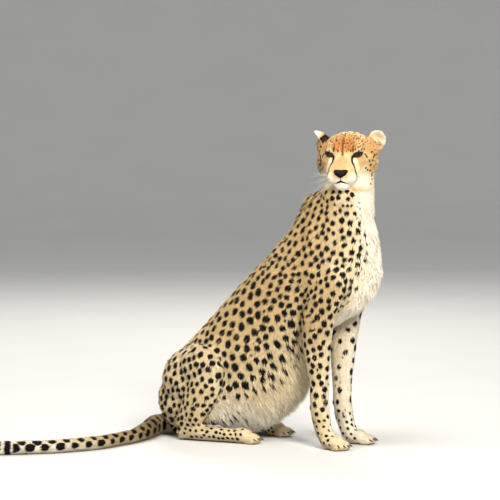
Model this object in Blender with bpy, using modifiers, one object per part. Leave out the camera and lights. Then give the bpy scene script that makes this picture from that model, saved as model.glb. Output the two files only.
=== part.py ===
"""A cheetah sitting upright, at life size, as a still museum model.

The body faces +X with its left side at +Y, and +Z is up. The flesh is modelled whole, from lofted
tubes and ellipsoids that a voxel remesh melts into one form. Cuts a fraction of a millimetre wide
then part it where a person would name its parts. Eyeballs, nose and claws are pieces of their own.
"""

import math
from dataclasses import dataclass

import bmesh
import bpy
import numpy as np
from mathutils import Euler, Matrix, Vector

# ---------------------------------------------------------------- driving dimensions, in metres
GAP = 0.0005  # width of the cuts between neighbouring pieces
FLESH_VOXEL = 0.0032
FLESH_SMOOTHING = 12  # rounds of smoothing
FINE_TRIANGLES = 5300  # before the broad forms are lightened further
FLESH_TRIANGLES = 3000
FLAT_ENOUGH = 5.0  # degrees between faces that are joined after the cuts

FORELEG_SPREAD = 0.070  # forefoot's distance from the middle plane
KNEE_SPREAD = 0.128
HEEL_SPREAD, HIND_TOE_SPREAD = 0.128, 0.102

HEAD_PLACE = Vector((0.0635, -0.010, 0.900))
HEAD_YAW, HEAD_PITCH = math.radians(-70.0), math.radians(9.5)
EYE_RADIUS = 0.0165
EYE_PLACE = Vector((0.0545, 0.0400, 0.0105))  # left eye in the head's own frame
EYE_OUTWARD = math.radians(20.0)  # how far each eye looks outwards
EYE_OPENING = (0.0145, 0.0112)  # half-width and half-height between the lids
EYE_SLANT = math.radians(-7.0)  # the inner corner lies lower
LID = 0.0025
NOSE_PLACE = Vector((0.1270, 0.0, -0.0350))

TAIL_RADIUS = 0.0225

SIDES = {"left": 1, "right": -1}


# ---------------------------------------------------------------- shapes
@dataclass
class Section:
    """One cross-section of a lofted tube: its middle and its two half-axes as vectors.

    narrow above 0 makes the section narrower towards the tip of -deep, like an egg.
    """

    middle: Vector
    wide: Vector
    deep: Vector
    narrow: float = 0.0


def catmull_rom(rows, per_span):
    """Rows of numbers, joined by a smooth curve with per_span steps between two rows."""
    rows = np.array(rows, float)
    ends = np.vstack([2 * rows[0] - rows[1], rows, 2 * rows[-1] - rows[-2]])
    found = []
    for i in range(len(rows) - 1):
        a, b, c, d = ends[i : i + 4]
        for t in np.arange(per_span) / per_span:
            cubic = 2 * b + (c - a) * t + (2 * a - 5 * b + 4 * c - d) * t**2
            found.append(0.5 * (cubic + (3 * b - a - 3 * c + d) * t**3))
    found.append(rows[-1])
    return np.array(found)


def loft(body, sections, per_span=6, around=28, dome=0.6):
    """Adds a closed tube through the sections to the bmesh body, with domed ends."""
    rows = [[*s.middle, *s.wide, *s.deep, s.narrow] for s in sections]
    rows = catmull_rom(rows, per_span)
    first_out = Vector(rows[0][:3] - rows[1][:3]).normalized()
    last_out = Vector(rows[-1][:3] - rows[-2][:3]).normalized()
    steps = [math.radians(a) for a in (65, 42, 20)]
    rings = []
    for row, out, lifts in (
        (rows[0], first_out, steps),
        *((row, None, (0.0,)) for row in rows),
        (rows[-1], last_out, steps[::-1]),
    ):
        middle, wide, deep = Vector(row[:3]), Vector(row[3:6]), Vector(row[6:9])
        reach = dome * min(wide.length, deep.length)
        for lift in lifts:
            shift = out * reach * math.sin(lift) if out else Vector()
            ring = []
            for k in range(around):
                turn = 2 * math.pi * k / around
                egg = 1 + row[9] * math.cos(turn)
                point = wide * math.sin(turn) * egg + deep * math.cos(turn)
                ring.append(body.verts.new(middle + shift + point * math.cos(lift)))
            rings.append(ring)
    ends = [
        body.verts.new(Vector(rows[0][:3]) + first_out * dome * Vector(rows[0][3:6]).length),
        body.verts.new(Vector(rows[-1][:3]) + last_out * dome * Vector(rows[-1][3:6]).length),
    ]
    faces = []
    for lower, upper in zip(rings, rings[1:]):
        for k in range(around):
            j = (k + 1) % around
            faces.append(body.faces.new((lower[k], lower[j], upper[j], upper[k])))
    for ring, end in ((rings[0], ends[0]), (rings[-1], ends[1])):
        for k in range(around):
            faces.append(body.faces.new((ring[k], ring[(k + 1) % around], end)))
    bmesh.ops.recalc_face_normals(body, faces=faces)


def blob(body, middle, radii, turn=(0.0, 0.0, 0.0), segments=28, rings=16):
    """Adds an ellipsoid to the bmesh body. turn is in degrees, about X, Y and Z."""
    rotation = Euler([math.radians(a) for a in turn]).to_matrix().to_4x4()
    place = Matrix.Translation(middle) @ rotation @ Matrix.Diagonal((*radii, 1.0))
    bmesh.ops.create_uvsphere(
        body, u_segments=segments, v_segments=rings, radius=1.0, matrix=place
    )


def limb(body, stations, per_span=6, dome=0.6, around=28):
    """Adds a leg-like tube. A station is (x, y, z, half across, half fore and aft)."""
    path = [Vector(s[:3]) for s in stations]
    sections = []
    for i, station in enumerate(stations):
        along = (path[min(i + 1, len(path) - 1)] - path[max(i - 1, 0)]).normalized()
        side = along.cross(Vector((1.0, 0.0, 0.0)))
        if side.length < 0.5:
            side = along.cross(Vector((0.0, 0.0, 1.0)))
        side.normalize()
        fore = side.cross(along).normalized()
        sections.append(Section(path[i], side * station[3], fore * station[4]))
    loft(body, sections, per_span, around, dome)


# ---------------------------------------------------------------- the animal
# Back and belly points of the trunk and neck in the middle plane: (back x, z), (belly x, z),
# half-width, and how much narrower the belly side is.
TRUNK = (
    ((-0.596, 0.060), (-0.430, 0.045), 0.075, 0.00),
    ((-0.607, 0.150), (-0.330, 0.040), 0.100, 0.00),
    ((-0.555, 0.245), (-0.285, 0.052), 0.108, 0.12),
    ((-0.468, 0.332), (-0.196, 0.098), 0.108, 0.20),
    ((-0.370, 0.425), (-0.110, 0.178), 0.108, 0.24),
    ((-0.278, 0.518), (-0.066, 0.264), 0.110, 0.24),
    ((-0.198, 0.602), (-0.005, 0.355), 0.114, 0.22),
    ((-0.140, 0.676), (0.121, 0.434), 0.110, 0.20),
    ((-0.106, 0.732), (0.169, 0.517), 0.100, 0.15),
    ((-0.078, 0.772), (0.164, 0.610), 0.092, 0.10),
    ((-0.025, 0.796), (0.146, 0.700), 0.083, 0.05),
    ((0.004, 0.847), (0.144, 0.790), 0.081, 0.00),
    ((0.012, 0.903), (0.136, 0.862), 0.080, 0.00),
)

# The tail's course over the floor, as seen from above, and its half-thickness at each place.
TAIL_COURSE = (
    (-0.540, -0.010, 0.036, 0.036),
    (-0.582, -0.052, 0.034, 0.035),
    (-0.576, -0.115, 0.031, 0.033),
    (-0.554, -0.180, 0.026, 0.030),
    (-0.542, -0.260, 0.0225, 0.0250),
    (-0.545, -0.345, 0.0215, 0.0225),
    (-0.556, -0.440, 0.0215, 0.0225),
    (-0.588, -0.525, 0.0215, 0.0225),
    (-0.634, -0.595, 0.0215, 0.0225),
    (-0.690, -0.655, 0.0215, 0.0225),
    (-0.750, -0.705, 0.0215, 0.0225),
    (-0.815, -0.740, 0.0205, 0.0225),
)


def trunk_and_neck(body):
    sections = []
    for back, belly, half_width, narrow in TRUNK:
        top, bottom = Vector((back[0], 0.0, back[1])), Vector((belly[0], 0.0, belly[1]))
        across = Vector((0.0, half_width, 0.0))
        sections.append(Section((top + bottom) / 2, across, (top - bottom) / 2, narrow))
    loft(body, sections, per_span=5, around=36)


def shoulder_and_foreleg(body, side):
    y = FORELEG_SPREAD
    blob(body, (-0.040, side * 0.070, 0.600), (0.070, 0.040, 0.130), (0, 30, 0))
    blob(body, (0.045, side * 0.072, 0.500), (0.058, 0.040, 0.085), (0, 30, 0))
    limb(
        body,
        [
            (0.070, side * 0.078, 0.520, 0.034, 0.040),
            (0.040, side * 0.084, 0.470, 0.038, 0.050),
            (0.010, side * 0.084, 0.420, 0.040, 0.056),
            (0.000, side * 0.082, 0.350, 0.037, 0.051),
            (0.000, side * 0.077, 0.270, 0.034, 0.042),
            (0.002, side * y, 0.200, 0.030, 0.034),
            (0.003, side * y, 0.140, 0.0285, 0.031),
            (0.006, side * y, 0.105, 0.029, 0.031),
            (0.016, side * y, 0.062, 0.028, 0.028),
            (0.028, side * y, 0.035, 0.028, 0.028),
        ],
    )
    blob(body, (-0.028, side * 0.084, 0.395), (0.024, 0.026, 0.034))
    blob(body, (-0.022, side * y, 0.128), (0.012, 0.012, 0.016))


@dataclass
class Foot:
    """A foot's front part: where it stands, which way it points and how wide it is."""

    name: str
    place: Vector
    yaw: float
    size: float

    def frame(self):
        return Matrix.Translation(self.place) @ Matrix.Rotation(self.yaw, 4, "Z")

    def toes(self):
        """Each toe's middle in the foot's own frame, and its turn in degrees."""
        for slot in (-1.5, -0.5, 0.5, 1.5):
            reach = 0.060 - 0.005 * abs(slot) ** 1.5
            yield Vector((reach, 0.0160 * slot * self.size, 0.0135)), 5 * slot

    def add_to(self, body):
        frame = self.frame()
        turn = math.degrees(self.yaw)
        sole = frame @ Vector((0.018, 0, 0.023))
        blob(body, sole, (0.038, 0.033 * self.size, 0.026), (0, 0, turn))
        for middle, splay in self.toes():
            toe = (0.025, 0.0098 * self.size, 0.0175)
            blob(body, frame @ middle, toe, (0, 8, turn + splay))


def feet():
    hind_yaw = math.atan2(HIND_TOE_SPREAD - HEEL_SPREAD, 0.20)
    found = []
    for word, side in SIDES.items():
        fore = Vector((0.030, side * FORELEG_SPREAD, 0.0))
        hind = Vector((-0.277, side * HIND_TOE_SPREAD, 0.0))
        found.append(Foot(f"fore_{word}", fore, math.radians(14 * side), 1.0))
        found.append(Foot(f"hind_{word}", hind, hind_yaw * side, 0.97))
    return found


def haunch_and_hindleg(body, side):
    heel, toe = HEEL_SPREAD, HIND_TOE_SPREAD
    blob(body, (-0.440, side * 0.088, 0.195), (0.118, 0.064, 0.098), (0, -28, 0))
    blob(body, (-0.470, side * 0.070, 0.120), (0.110, 0.062, 0.100))
    limb(
        body,
        [
            (-0.420, side * 0.112, 0.225, 0.050, 0.070),
            (-0.370, side * KNEE_SPREAD, 0.245, 0.044, 0.062),
            (-0.345, side * (KNEE_SPREAD + 0.004), 0.232, 0.040, 0.050),
        ],
    )
    limb(
        body,
        [
            (-0.345, side * (KNEE_SPREAD + 0.004), 0.245, 0.036, 0.046),
            (-0.368, side * 0.132, 0.175, 0.040, 0.056),
            (-0.405, side * 0.131, 0.105, 0.036, 0.050),
            (-0.445, side * heel, 0.050, 0.029, 0.036),
        ],
    )
    limb(
        body,
        [
            (-0.458, side * heel, 0.032, 0.027, 0.030),
            (-0.400, side * (heel - 0.006), 0.027, 0.027, 0.027),
            (-0.330, side * (heel - 0.016), 0.024, 0.028, 0.024),
            (-0.280, side * toe, 0.022, 0.030, 0.022),
        ],
    )


def head_matrix():
    turn = Euler((0.0, HEAD_PITCH, HEAD_YAW)).to_matrix().to_4x4()
    return Matrix.Translation(HEAD_PLACE) @ turn


# Cross-sections of the head from the back of the skull to the nose, in the head's own frame:
# (how far forward, height of the middle, half-width, half-height).
HEAD_SECTIONS = (
    (-0.098, -0.004, 0.040, 0.036),
    (-0.070, -0.002, 0.066, 0.055),
    (-0.030, -0.004, 0.082, 0.063),
    (0.008, -0.009, 0.084, 0.067),
    (0.034, -0.016, 0.077, 0.065),
    (0.058, -0.025, 0.066, 0.057),
    (0.080, -0.036, 0.054, 0.046),
    (0.101, -0.045, 0.044, 0.035),
    (0.116, -0.046, 0.034, 0.025),
)
# The broad flat bridge of the nose, from the forehead to the nose pad, in the same terms.
BRIDGE_SECTIONS = (
    (0.028, 0.021, 0.042, 0.027),
    (0.058, 0.009, 0.035, 0.024),
    (0.085, -0.010, 0.025, 0.020),
    (0.108, -0.026, 0.0225, 0.016),
    (0.122, -0.034, 0.0205, 0.013),
)


def head(body):
    """The skull, muzzle, cheeks, jaw and ears, modelled facing +X about the head's own middle."""
    own = bmesh.new()
    for table in (HEAD_SECTIONS, BRIDGE_SECTIONS):
        sections = [
            Section(Vector((x, 0, z)), Vector((0, wide, 0)), Vector((0, 0, high)))
            for x, z, wide, high in table
        ]
        loft(own, sections, per_span=4, around=32)
    blob(own, NOSE_PLACE, (0.013, 0.0225, 0.0125))
    blob(own, (0.088, 0, -0.078), (0.036, 0.029, 0.0185), (0, -4, 0))
    for side in SIDES.values():
        blob(own, (0.095, side * 0.0245, -0.052), (0.034, 0.0255, 0.0235), (0, 0, side * -8))
        blob(own, (0.002, side * 0.049, -0.029), (0.064, 0.045, 0.055), (0, 10, side * -10))
        blob(own, (0.040, side * 0.048, -0.016), (0.040, 0.028, 0.024), (0, 0, side * -30))
        blob(own, (0.038, side * 0.031, 0.021), (0.033, 0.031, 0.019), (0, 8, side * -18))
        eye = Vector((EYE_PLACE.x, side * EYE_PLACE.y, EYE_PLACE.z))
        blob(own, eye, [EYE_RADIUS + LID + 0.0005] * 3)
        blob(own, (-0.022, side * 0.064, 0.008), (0.034, 0.030, 0.046), (side * -30, 0, 0))
    ear(own, 1, 20.0)
    ear(own, -1, 78.0)
    own.transform(head_matrix())
    melt = bpy.data.meshes.new("head_form")
    own.to_mesh(melt)
    own.free()
    body.from_mesh(melt)
    bpy.data.meshes.remove(melt)


def ear(own, side, outward):
    """A cupped ear on one side of the head, its opening turned outwards by so many degrees."""
    half_width, length, hollow, wall = 0.030, 0.069, 0.019, 0.0105
    lean = Matrix.Rotation(math.radians(-34.0 * side), 4, "X")
    turn = Matrix.Rotation(math.radians(outward * side), 4, "Z")
    place = Matrix.Translation((-0.020, side * 0.070, 0.013)) @ lean @ turn
    around, rings = 28, 7
    skins = []
    for wall_side in (-1, 1):
        skin = []
        for i in range(1, rings + 1):
            rho = i / rings
            ring = []
            for k in range(around):
                turn_k = 2 * math.pi * k / around
                across, along = math.sin(turn_k), math.cos(turn_k)
                u = half_width * across * rho
                v = length * 0.5 * (1 + along * rho)
                depth = -hollow * (1 - rho**2)
                thick = wall * (0.5 if i < rings else 0.36)
                ring.append(own.verts.new(place @ Vector((depth + wall_side * thick, u, v))))
            skin.append(ring)
        middle = Vector((-hollow + wall_side * wall / 2, 0, length / 2))
        skins.append((own.verts.new(place @ middle), skin))
    faces = []
    for centre, skin in skins:
        for k in range(around):
            faces.append(own.faces.new((centre, skin[0][k], skin[0][(k + 1) % around])))
        for inner, outer in zip(skin, skin[1:]):
            for k in range(around):
                j = (k + 1) % around
                faces.append(own.faces.new((inner[k], outer[k], outer[j], inner[j])))
    back, front = skins[0][1][-1], skins[1][1][-1]
    for k in range(around):
        j = (k + 1) % around
        faces.append(own.faces.new((back[k], front[k], front[j], back[j])))
    bmesh.ops.recalc_face_normals(own, faces=faces)


def tail(body):
    course = catmull_rom(TAIL_COURSE, 2)
    stations = []
    for i, (x, y, across, high) in enumerate(course):
        after, before = course[min(i + 1, len(course) - 1)], course[max(i - 1, 0)]
        along = Vector((after[0] - before[0], after[1] - before[1], 0.0)).normalized()
        side = along.cross(Vector((0, 0, 1)))
        middle = Vector((x, y, high - 0.0015))
        stations.append(Section(middle, side * across, Vector((0, 0, high))))
    loft(body, stations, per_span=3, around=20, dome=0.9)


def flesh_form():
    """Every shape of the body, still overlapping."""
    body = bmesh.new()
    trunk_and_neck(body)
    blob(body, (0.030, 0.037, 0.850), (0.060, 0.052, 0.070))
    for side in SIDES.values():
        shoulder_and_foreleg(body, side)
        haunch_and_hindleg(body, side)
    for foot in feet():
        foot.add_to(body)
    head(body)
    tail(body)
    return body


# ---------------------------------------------------------------- one body, then its pieces
def mesh_of(body, name):
    mesh = bpy.data.meshes.new(name)
    body.to_mesh(mesh)
    body.free()
    return mesh


def placed(name, mesh):
    made = bpy.data.objects.new(name, mesh)
    bpy.context.scene.collection.objects.link(made)
    return made


def settle(made):
    """Makes the object's modifiers part of its mesh."""
    graph = bpy.context.evaluated_depsgraph_get()
    mesh = bpy.data.meshes.new_from_object(made.evaluated_get(graph))
    made.modifiers.clear()
    made.data = mesh


def combine(made, other, operation):
    """Changes made by another closed mesh: DIFFERENCE takes it away, INTERSECT keeps what both hold."""
    step = made.modifiers.new("Cut", "BOOLEAN")
    step.solver, step.operation, step.object = "EXACT", operation, other
    settle(made)


def islands(mesh):
    """The connected bodies of a mesh, as bmeshes with their volumes, largest first."""
    body = bmesh.new()
    body.from_mesh(mesh)
    left = set(body.verts)
    groups = []
    while left:
        edge = [left.pop()]
        group = {edge[0].index}
        while edge:
            for link in edge.pop().link_edges:
                for there in link.verts:
                    if there in left:
                        left.remove(there)
                        group.add(there.index)
                        edge.append(there)
        groups.append(group)
    found = []
    for group in groups:
        own = body.copy()
        others = [vert for vert in own.verts if vert.index not in group]
        bmesh.ops.delete(own, geom=others, context="VERTS")
        found.append((own.calc_volume(signed=True), own))
    body.free()
    return sorted(found, key=lambda pair: -pair[0])


def keep_largest(made):
    found = islands(made.data)
    for volume, own in found[1:]:
        if volume > 1e-8:
            print(f"{made.name}: dropped a bit of {volume * 1e6:.2f} cm3")
        own.free()
    made.data = mesh_of(found[0][1], made.name)


def tidy_faces(made):
    """Joins the small faces that the cuts left, where they lie almost in one plane."""
    body = bmesh.new()
    body.from_mesh(made.data)
    bmesh.ops.dissolve_limit(
        body, angle_limit=math.radians(FLAT_ENOUGH), verts=body.verts, edges=body.edges
    )
    bmesh.ops.triangulate(body, faces=body.faces)
    made.data = mesh_of(body, made.name)


def grown(body, by):
    """A copy of a closed bmesh with every face moved outwards."""
    copy = body.copy()
    bmesh.ops.recalc_face_normals(copy, faces=copy.faces)
    copy.normal_update()
    moved = {v: v.co + v.normal * by * v.calc_shell_factor() for v in copy.verts}
    for vert, place in moved.items():
        vert.co = place
    return copy


def part_off(rest, name, region):
    """Takes what lies inside a closed region off the rest of the body, as a piece of its own."""
    outer = grown(region, GAP)
    inside, outside = placed("region", mesh_of(region, "region")), placed("edge", mesh_of(outer, "edge"))
    piece = placed(name, rest.data.copy())
    combine(piece, inside, "INTERSECT")
    combine(rest, outside, "DIFFERENCE")
    keep_largest(piece)
    keep_largest(rest)
    bpy.data.objects.remove(inside)
    bpy.data.objects.remove(outside)
    return piece


def box_region(low, high, frame=None):
    """A box between two corners, in the frame given."""
    body = bmesh.new()
    middle, size = (Vector(low) + Vector(high)) / 2, Vector(high) - Vector(low)
    place = Matrix.Translation(middle) @ Matrix.Diagonal((*size, 1.0))
    bmesh.ops.create_cube(body, size=1.0, matrix=(frame or Matrix()) @ place)
    return body


def beyond_region(point, normal, far=0.7, reach=0.6):
    """All that lies beyond a plane through point, on the side its normal points to."""
    turn = Vector(normal).to_track_quat("Z", "Y").to_matrix().to_4x4()
    frame = Matrix.Translation(point) @ turn
    return box_region((-reach, -reach, 0.0), (reach, reach, far), frame)


def limb_region(stations, dome=0.6):
    """The convex shape that wraps a limb's stations."""
    tube = bmesh.new()
    limb(tube, stations, per_span=1, around=10, dome=dome)
    body = bmesh.new()
    for vert in tube.verts:
        body.verts.new(vert.co)
    tube.free()
    hull = bmesh.ops.convex_hull(body, input=list(body.verts))
    inside = set(hull["geom_interior"]) | set(hull["geom_unused"])
    bmesh.ops.delete(body, geom=[v for v in inside if isinstance(v, bmesh.types.BMVert)])
    bmesh.ops.recalc_face_normals(body, faces=body.faces)
    return body


def ellipsoid_region(middle, radii, turn):
    body = bmesh.new()
    blob(body, middle, radii, turn, segments=12, rings=7)
    return body


def ball(place, radius, segments=14, rings=9):
    body = bmesh.new()
    matrix = place if isinstance(place, Matrix) else Matrix.Translation(place)
    bmesh.ops.create_uvsphere(
        body, u_segments=segments, v_segments=rings, radius=radius, matrix=matrix
    )
    return body


def eye_frame(side):
    """The eyeball's own frame in the scene: +X is where it looks."""
    middle = Vector((EYE_PLACE.x, side * EYE_PLACE.y, EYE_PLACE.z))
    look = Euler((0.0, 0.0, side * EYE_OUTWARD)).to_matrix().to_4x4()
    return head_matrix() @ Matrix.Translation(middle) @ look


def eye_opening(side):
    """A prism with the outline of the gap between the lids, from the eyeball's middle outwards."""
    wide, high = EYE_OPENING
    body = bmesh.new()
    rings = []
    for depth in (0.0, 0.045):
        ring = []
        for k in range(16):
            turn = 2 * math.pi * k / 16
            across, up = math.cos(turn), math.sin(turn)
            lift = up * abs(up) ** 0.35 * (0.75 if up > 0 else 1.0)
            slanted = across * wide * side * math.tan(-EYE_SLANT)
            ring.append(body.verts.new((depth, across * wide, lift * high + slanted * 0.6)))
        rings.append(ring)
    for k in range(16):
        j = (k + 1) % 16
        body.faces.new((rings[0][k], rings[0][j], rings[1][j], rings[1][k]))
    body.faces.new(rings[0])
    body.faces.new(rings[1])
    bmesh.ops.recalc_face_normals(body, faces=body.faces)
    body.transform(eye_frame(side))
    return body


def claw(frame, length, thick):
    """A curved claw along +X of its frame, sunk into the toe at its root."""
    body = bmesh.new()
    rings = []
    for along, drop, radius in ((0.0, 0.0, 1.0), (0.45, 0.05, 0.85), (0.80, 0.28, 0.5)):
        ring = []
        for k in range(6):
            turn = 2 * math.pi * k / 6
            y, z = 0.62 * thick * radius * math.cos(turn), thick * radius * math.sin(turn)
            ring.append(body.verts.new((along * length, y, z - drop * length * 0.6)))
        rings.append(ring)
    tip = body.verts.new((length, 0.0, -0.36 * length))
    for lower, upper in zip(rings, rings[1:]):
        for k in range(6):
            j = (k + 1) % 6
            body.faces.new((lower[k], lower[j], upper[j], upper[k]))
    for k in range(6):
        body.faces.new((rings[-1][k], rings[-1][(k + 1) % 6], tip))
    body.faces.new(rings[0])
    bmesh.ops.recalc_face_normals(body, faces=body.faces)
    body.transform(frame)
    return body


def claws():
    """Each claw's name and shape: four to a foot, and the dewclaw inside each foreleg."""
    for foot in feet():
        for number, (middle, splay) in enumerate(foot.toes(), start=1):
            turn = Matrix.Rotation(math.radians(splay), 4, "Z")
            place = foot.frame() @ Matrix.Translation(middle + Vector((0.010, 0, 0.0035))) @ turn
            yield f"claw_{foot.name}_{number}", claw(place, 0.024, 0.0042)
    for word, side in SIDES.items():
        place = Matrix.Translation((0.016, side * (FORELEG_SPREAD - 0.020), 0.098))
        turn = Matrix.Rotation(math.radians(-side * 50), 4, "Z")
        down = Matrix.Rotation(math.radians(30), 4, "Y")
        yield f"claw_dew_{word}", claw(place @ turn @ down, 0.022, 0.0044)


def limb_regions():
    """The pieces of each leg, outermost first, as (name, closed region)."""
    for word, side in SIDES.items():
        y, heel, toe = side * FORELEG_SPREAD, side * HEEL_SPREAD, side * HIND_TOE_SPREAD
        yield (
            f"forefoot_{word}",
            box_region((-0.060, y - 0.060, -0.05), (0.18, y + 0.060, 0.100)),
        )
        yield (
            f"forearm_{word}",
            limb_region(
                [
                    (0.002, side * 0.080, 0.300, 0.056, 0.066),
                    (0.002, side * 0.072, 0.190, 0.050, 0.060),
                    (0.004, y, 0.080, 0.048, 0.060),
                ]
            ),
        )
        yield (
            f"upper_arm_{word}",
            limb_region(
                [
                    (0.055, side * 0.092, 0.520, 0.050, 0.066),
                    (0.010, side * 0.092, 0.430, 0.056, 0.078),
                    (0.000, side * 0.086, 0.300, 0.060, 0.080),
                ]
            ),
        )
        yield (
            f"hindfoot_{word}",
            limb_region(
                [
                    (-0.425, heel, 0.020, 0.048, 0.038),
                    (-0.330, side * (abs(heel) - 0.016), 0.020, 0.046, 0.036),
                    (-0.180, toe, 0.020, 0.050, 0.036),
                ]
            ),
        )
        yield (
            f"shank_{word}",
            limb_region(
                [
                    (-0.362, side * 0.140, 0.190, 0.058, 0.066),
                    (-0.400, side * 0.138, 0.115, 0.056, 0.066),
                    (-0.450, heel, 0.030, 0.046, 0.056),
                ]
            ),
        )
        yield (
            f"thigh_{word}",
            ellipsoid_region((-0.415, side * 0.145, 0.215), (0.165, 0.072, 0.120), (0, -28, 0)),
        )


def body_regions():
    """The pieces of the head, neck, trunk and tail, as (name, closed region)."""
    skull = head_matrix()
    for word, side in SIDES.items():
        out = skull.to_3x3() @ Vector((0.0, side * 0.72, 0.70))
        base = skull @ Vector((-0.020, side * 0.086, 0.036))
        yield f"ear_{word}", beyond_region(base, out, far=0.1, reach=0.06)
    jaw = skull @ Vector((-0.100, 0.0, -0.030))
    yield "head", beyond_region(jaw, skull.to_3x3() @ Vector((0.49, 0.0, 0.87)), reach=0.35)
    yield "neck", beyond_region((-0.020, 0.0, 0.740), (0.42, 0.0, 0.91), reach=0.35)
    yield "tail_5", beyond_region((-0.665, -0.630, 0.02), (-0.66, -0.75, 0.0), reach=0.12)
    yield "tail_4", beyond_region((-0.575, -0.500, 0.02), (-0.40, -0.92, 0.0), reach=0.12)
    yield "tail_3", beyond_region((-0.546, -0.360, 0.02), (-0.08, -1.0, 0.0), reach=0.12)
    yield "tail_2", beyond_region((-0.545, -0.225, 0.02), (0.10, -1.0, 0.0), reach=0.09)
    yield (
        "tail_1",
        limb_region(
            [
                (-0.592, -0.070, 0.030, 0.044, 0.050),
                (-0.565, -0.140, 0.030, 0.042, 0.050),
                (-0.540, -0.240, 0.030, 0.040, 0.050),
            ]
        ),
    )
    yield "rump", beyond_region((-0.340, 0.0, 0.250), (-0.80, 0.0, -0.60), reach=0.45)
    yield "abdomen", beyond_region((-0.130, 0.0, 0.480), (-0.71, 0.0, -0.71), reach=0.45)


def melted(body):
    """The overlapping shapes made one smooth body, lightened most where it is broadest."""
    made = placed("chest", mesh_of(body, "flesh"))
    remesh = made.modifiers.new("Melt", "REMESH")
    remesh.mode = "VOXEL"
    remesh.voxel_size = FLESH_VOXEL
    smooth = made.modifiers.new("Smooth", "SMOOTH")
    smooth.factor, smooth.iterations = 0.5, FLESH_SMOOTHING
    settle(made)
    lighten(made, FINE_TRIANGLES)
    group = made.vertex_groups.new(name="broad")
    middle = Vector((0.085, -0.02, 0.900))
    for vert in made.data.vertices:
        near_head = (vert.co - middle).length < 0.135
        near_floor = vert.co.z < 0.060 and vert.co.x > -0.32
        group.add([vert.index], 0.0 if near_head or near_floor else 1.0, "REPLACE")
    lighten(made, FLESH_TRIANGLES, group.name)
    made.vertex_groups.clear()
    return made


def lighten(made, triangles, group=""):
    """Brings the mesh down to so many triangles. Where the group's weight is 0, it stays as it is."""
    decimate = made.modifiers.new("Lighten", "DECIMATE")
    decimate.ratio = triangles / sum(len(face.vertices) - 2 for face in made.data.polygons)
    decimate.vertex_group = group
    settle(made)


def flatten_soles(made):
    """Cuts off all that lies below the floor, which leaves the flats the animal rests on."""
    floor = placed("floor", mesh_of(beyond_region((0, 0, 0), (0, 0, -1), far=0.1, reach=1.2), "f"))
    combine(made, floor, "DIFFERENCE")
    bpy.data.objects.remove(floor)


def hollow_out(made, shape):
    """Takes a closed bmesh away from the object, and frees it."""
    cutter = placed("cutter", mesh_of(shape, "cutter"))
    combine(made, cutter, "DIFFERENCE")
    bpy.data.objects.remove(cutter)


def finish(name, colour, roughness):
    made = bpy.data.materials.new(name)
    made.use_nodes = True
    shader = made.node_tree.nodes["Principled BSDF"]
    shader.inputs["Base Color"].default_value = (*colour, 1.0)
    shader.inputs["Roughness"].default_value = roughness
    return made


def clear_scene():
    for old in list(bpy.data.objects):
        bpy.data.objects.remove(old)


def main():
    clear_scene()
    body = melted(flesh_form())
    flatten_soles(body)
    pieces = []
    for word, side in SIDES.items():
        socket = ball(eye_frame(side), EYE_RADIUS + GAP)
        hollow_out(body, socket)
        hollow_out(body, eye_opening(side))
        pieces.append(placed(f"eye_{word}", mesh_of(ball(eye_frame(side), EYE_RADIUS), "eye")))
    keep_largest(body)
    for name, shape in claws():
        hollow_out(body, grown(shape, GAP))
        pieces.append(placed(name, mesh_of(shape, name)))
    nose = head_matrix() @ Matrix.Translation(NOSE_PLACE + Vector((0.014, 0, 0.001)))
    nose_region = box_region((-0.012, -0.022, -0.011), (0.02, 0.022, 0.011), nose)
    pieces.append(part_off(body, "nose", nose_region))
    for regions in (limb_regions(), body_regions()):
        for name, region in regions:
            pieces.append(part_off(body, name, region))
    pieces.append(body)
    looks = {
        "coat": finish("coat", (0.62, 0.42, 0.20), 0.9),
        "eye": finish("eye", (0.05, 0.02, 0.01), 0.08),
        "nose": finish("nose", (0.01, 0.008, 0.008), 0.45),
        "claw": finish("claw", (0.03, 0.025, 0.022), 0.4),
    }
    shift = base_of(pieces)
    for piece in pieces:
        if piece.name.split("_")[0] not in ("eye", "claw"):
            tidy_faces(piece)
        piece.data.transform(Matrix.Translation(shift))
        piece.data.name = piece.name
        kind = piece.name.split("_")[0]
        piece.data.materials.clear()
        piece.data.materials.append(looks.get(kind, looks["coat"]))
        piece.data.shade_smooth()
    bpy.context.scene["origin_shift"] = list(shift)


def base_of(pieces):
    """The move that brings the middle of the underside to the origin."""
    points = [v.co for piece in pieces for v in piece.data.vertices]
    low = Vector([min(p[i] for p in points) for i in range(3)])
    high = Vector([max(p[i] for p in points) for i in range(3)])
    return Vector((-(low.x + high.x) / 2, -(low.y + high.y) / 2, -low.z))


main()
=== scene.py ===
"""A life-size sitting cheetah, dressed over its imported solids.

One skin replaces the nodes of flesh and a coat of short tufts lies over it. The eyes, the lids' rims,
the nose pad, the claws and the whiskers are pieces of their own. Everything is in metres, +Z up.
"""

import logging
import math
from dataclasses import dataclass, field
from enum import Enum
from typing import Any

import bmesh
import bpy
import numpy as np
from mathutils import Euler, Matrix, Vector
from mathutils.bvhtree import BVHTree
from mathutils.kdtree import KDTree


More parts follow.
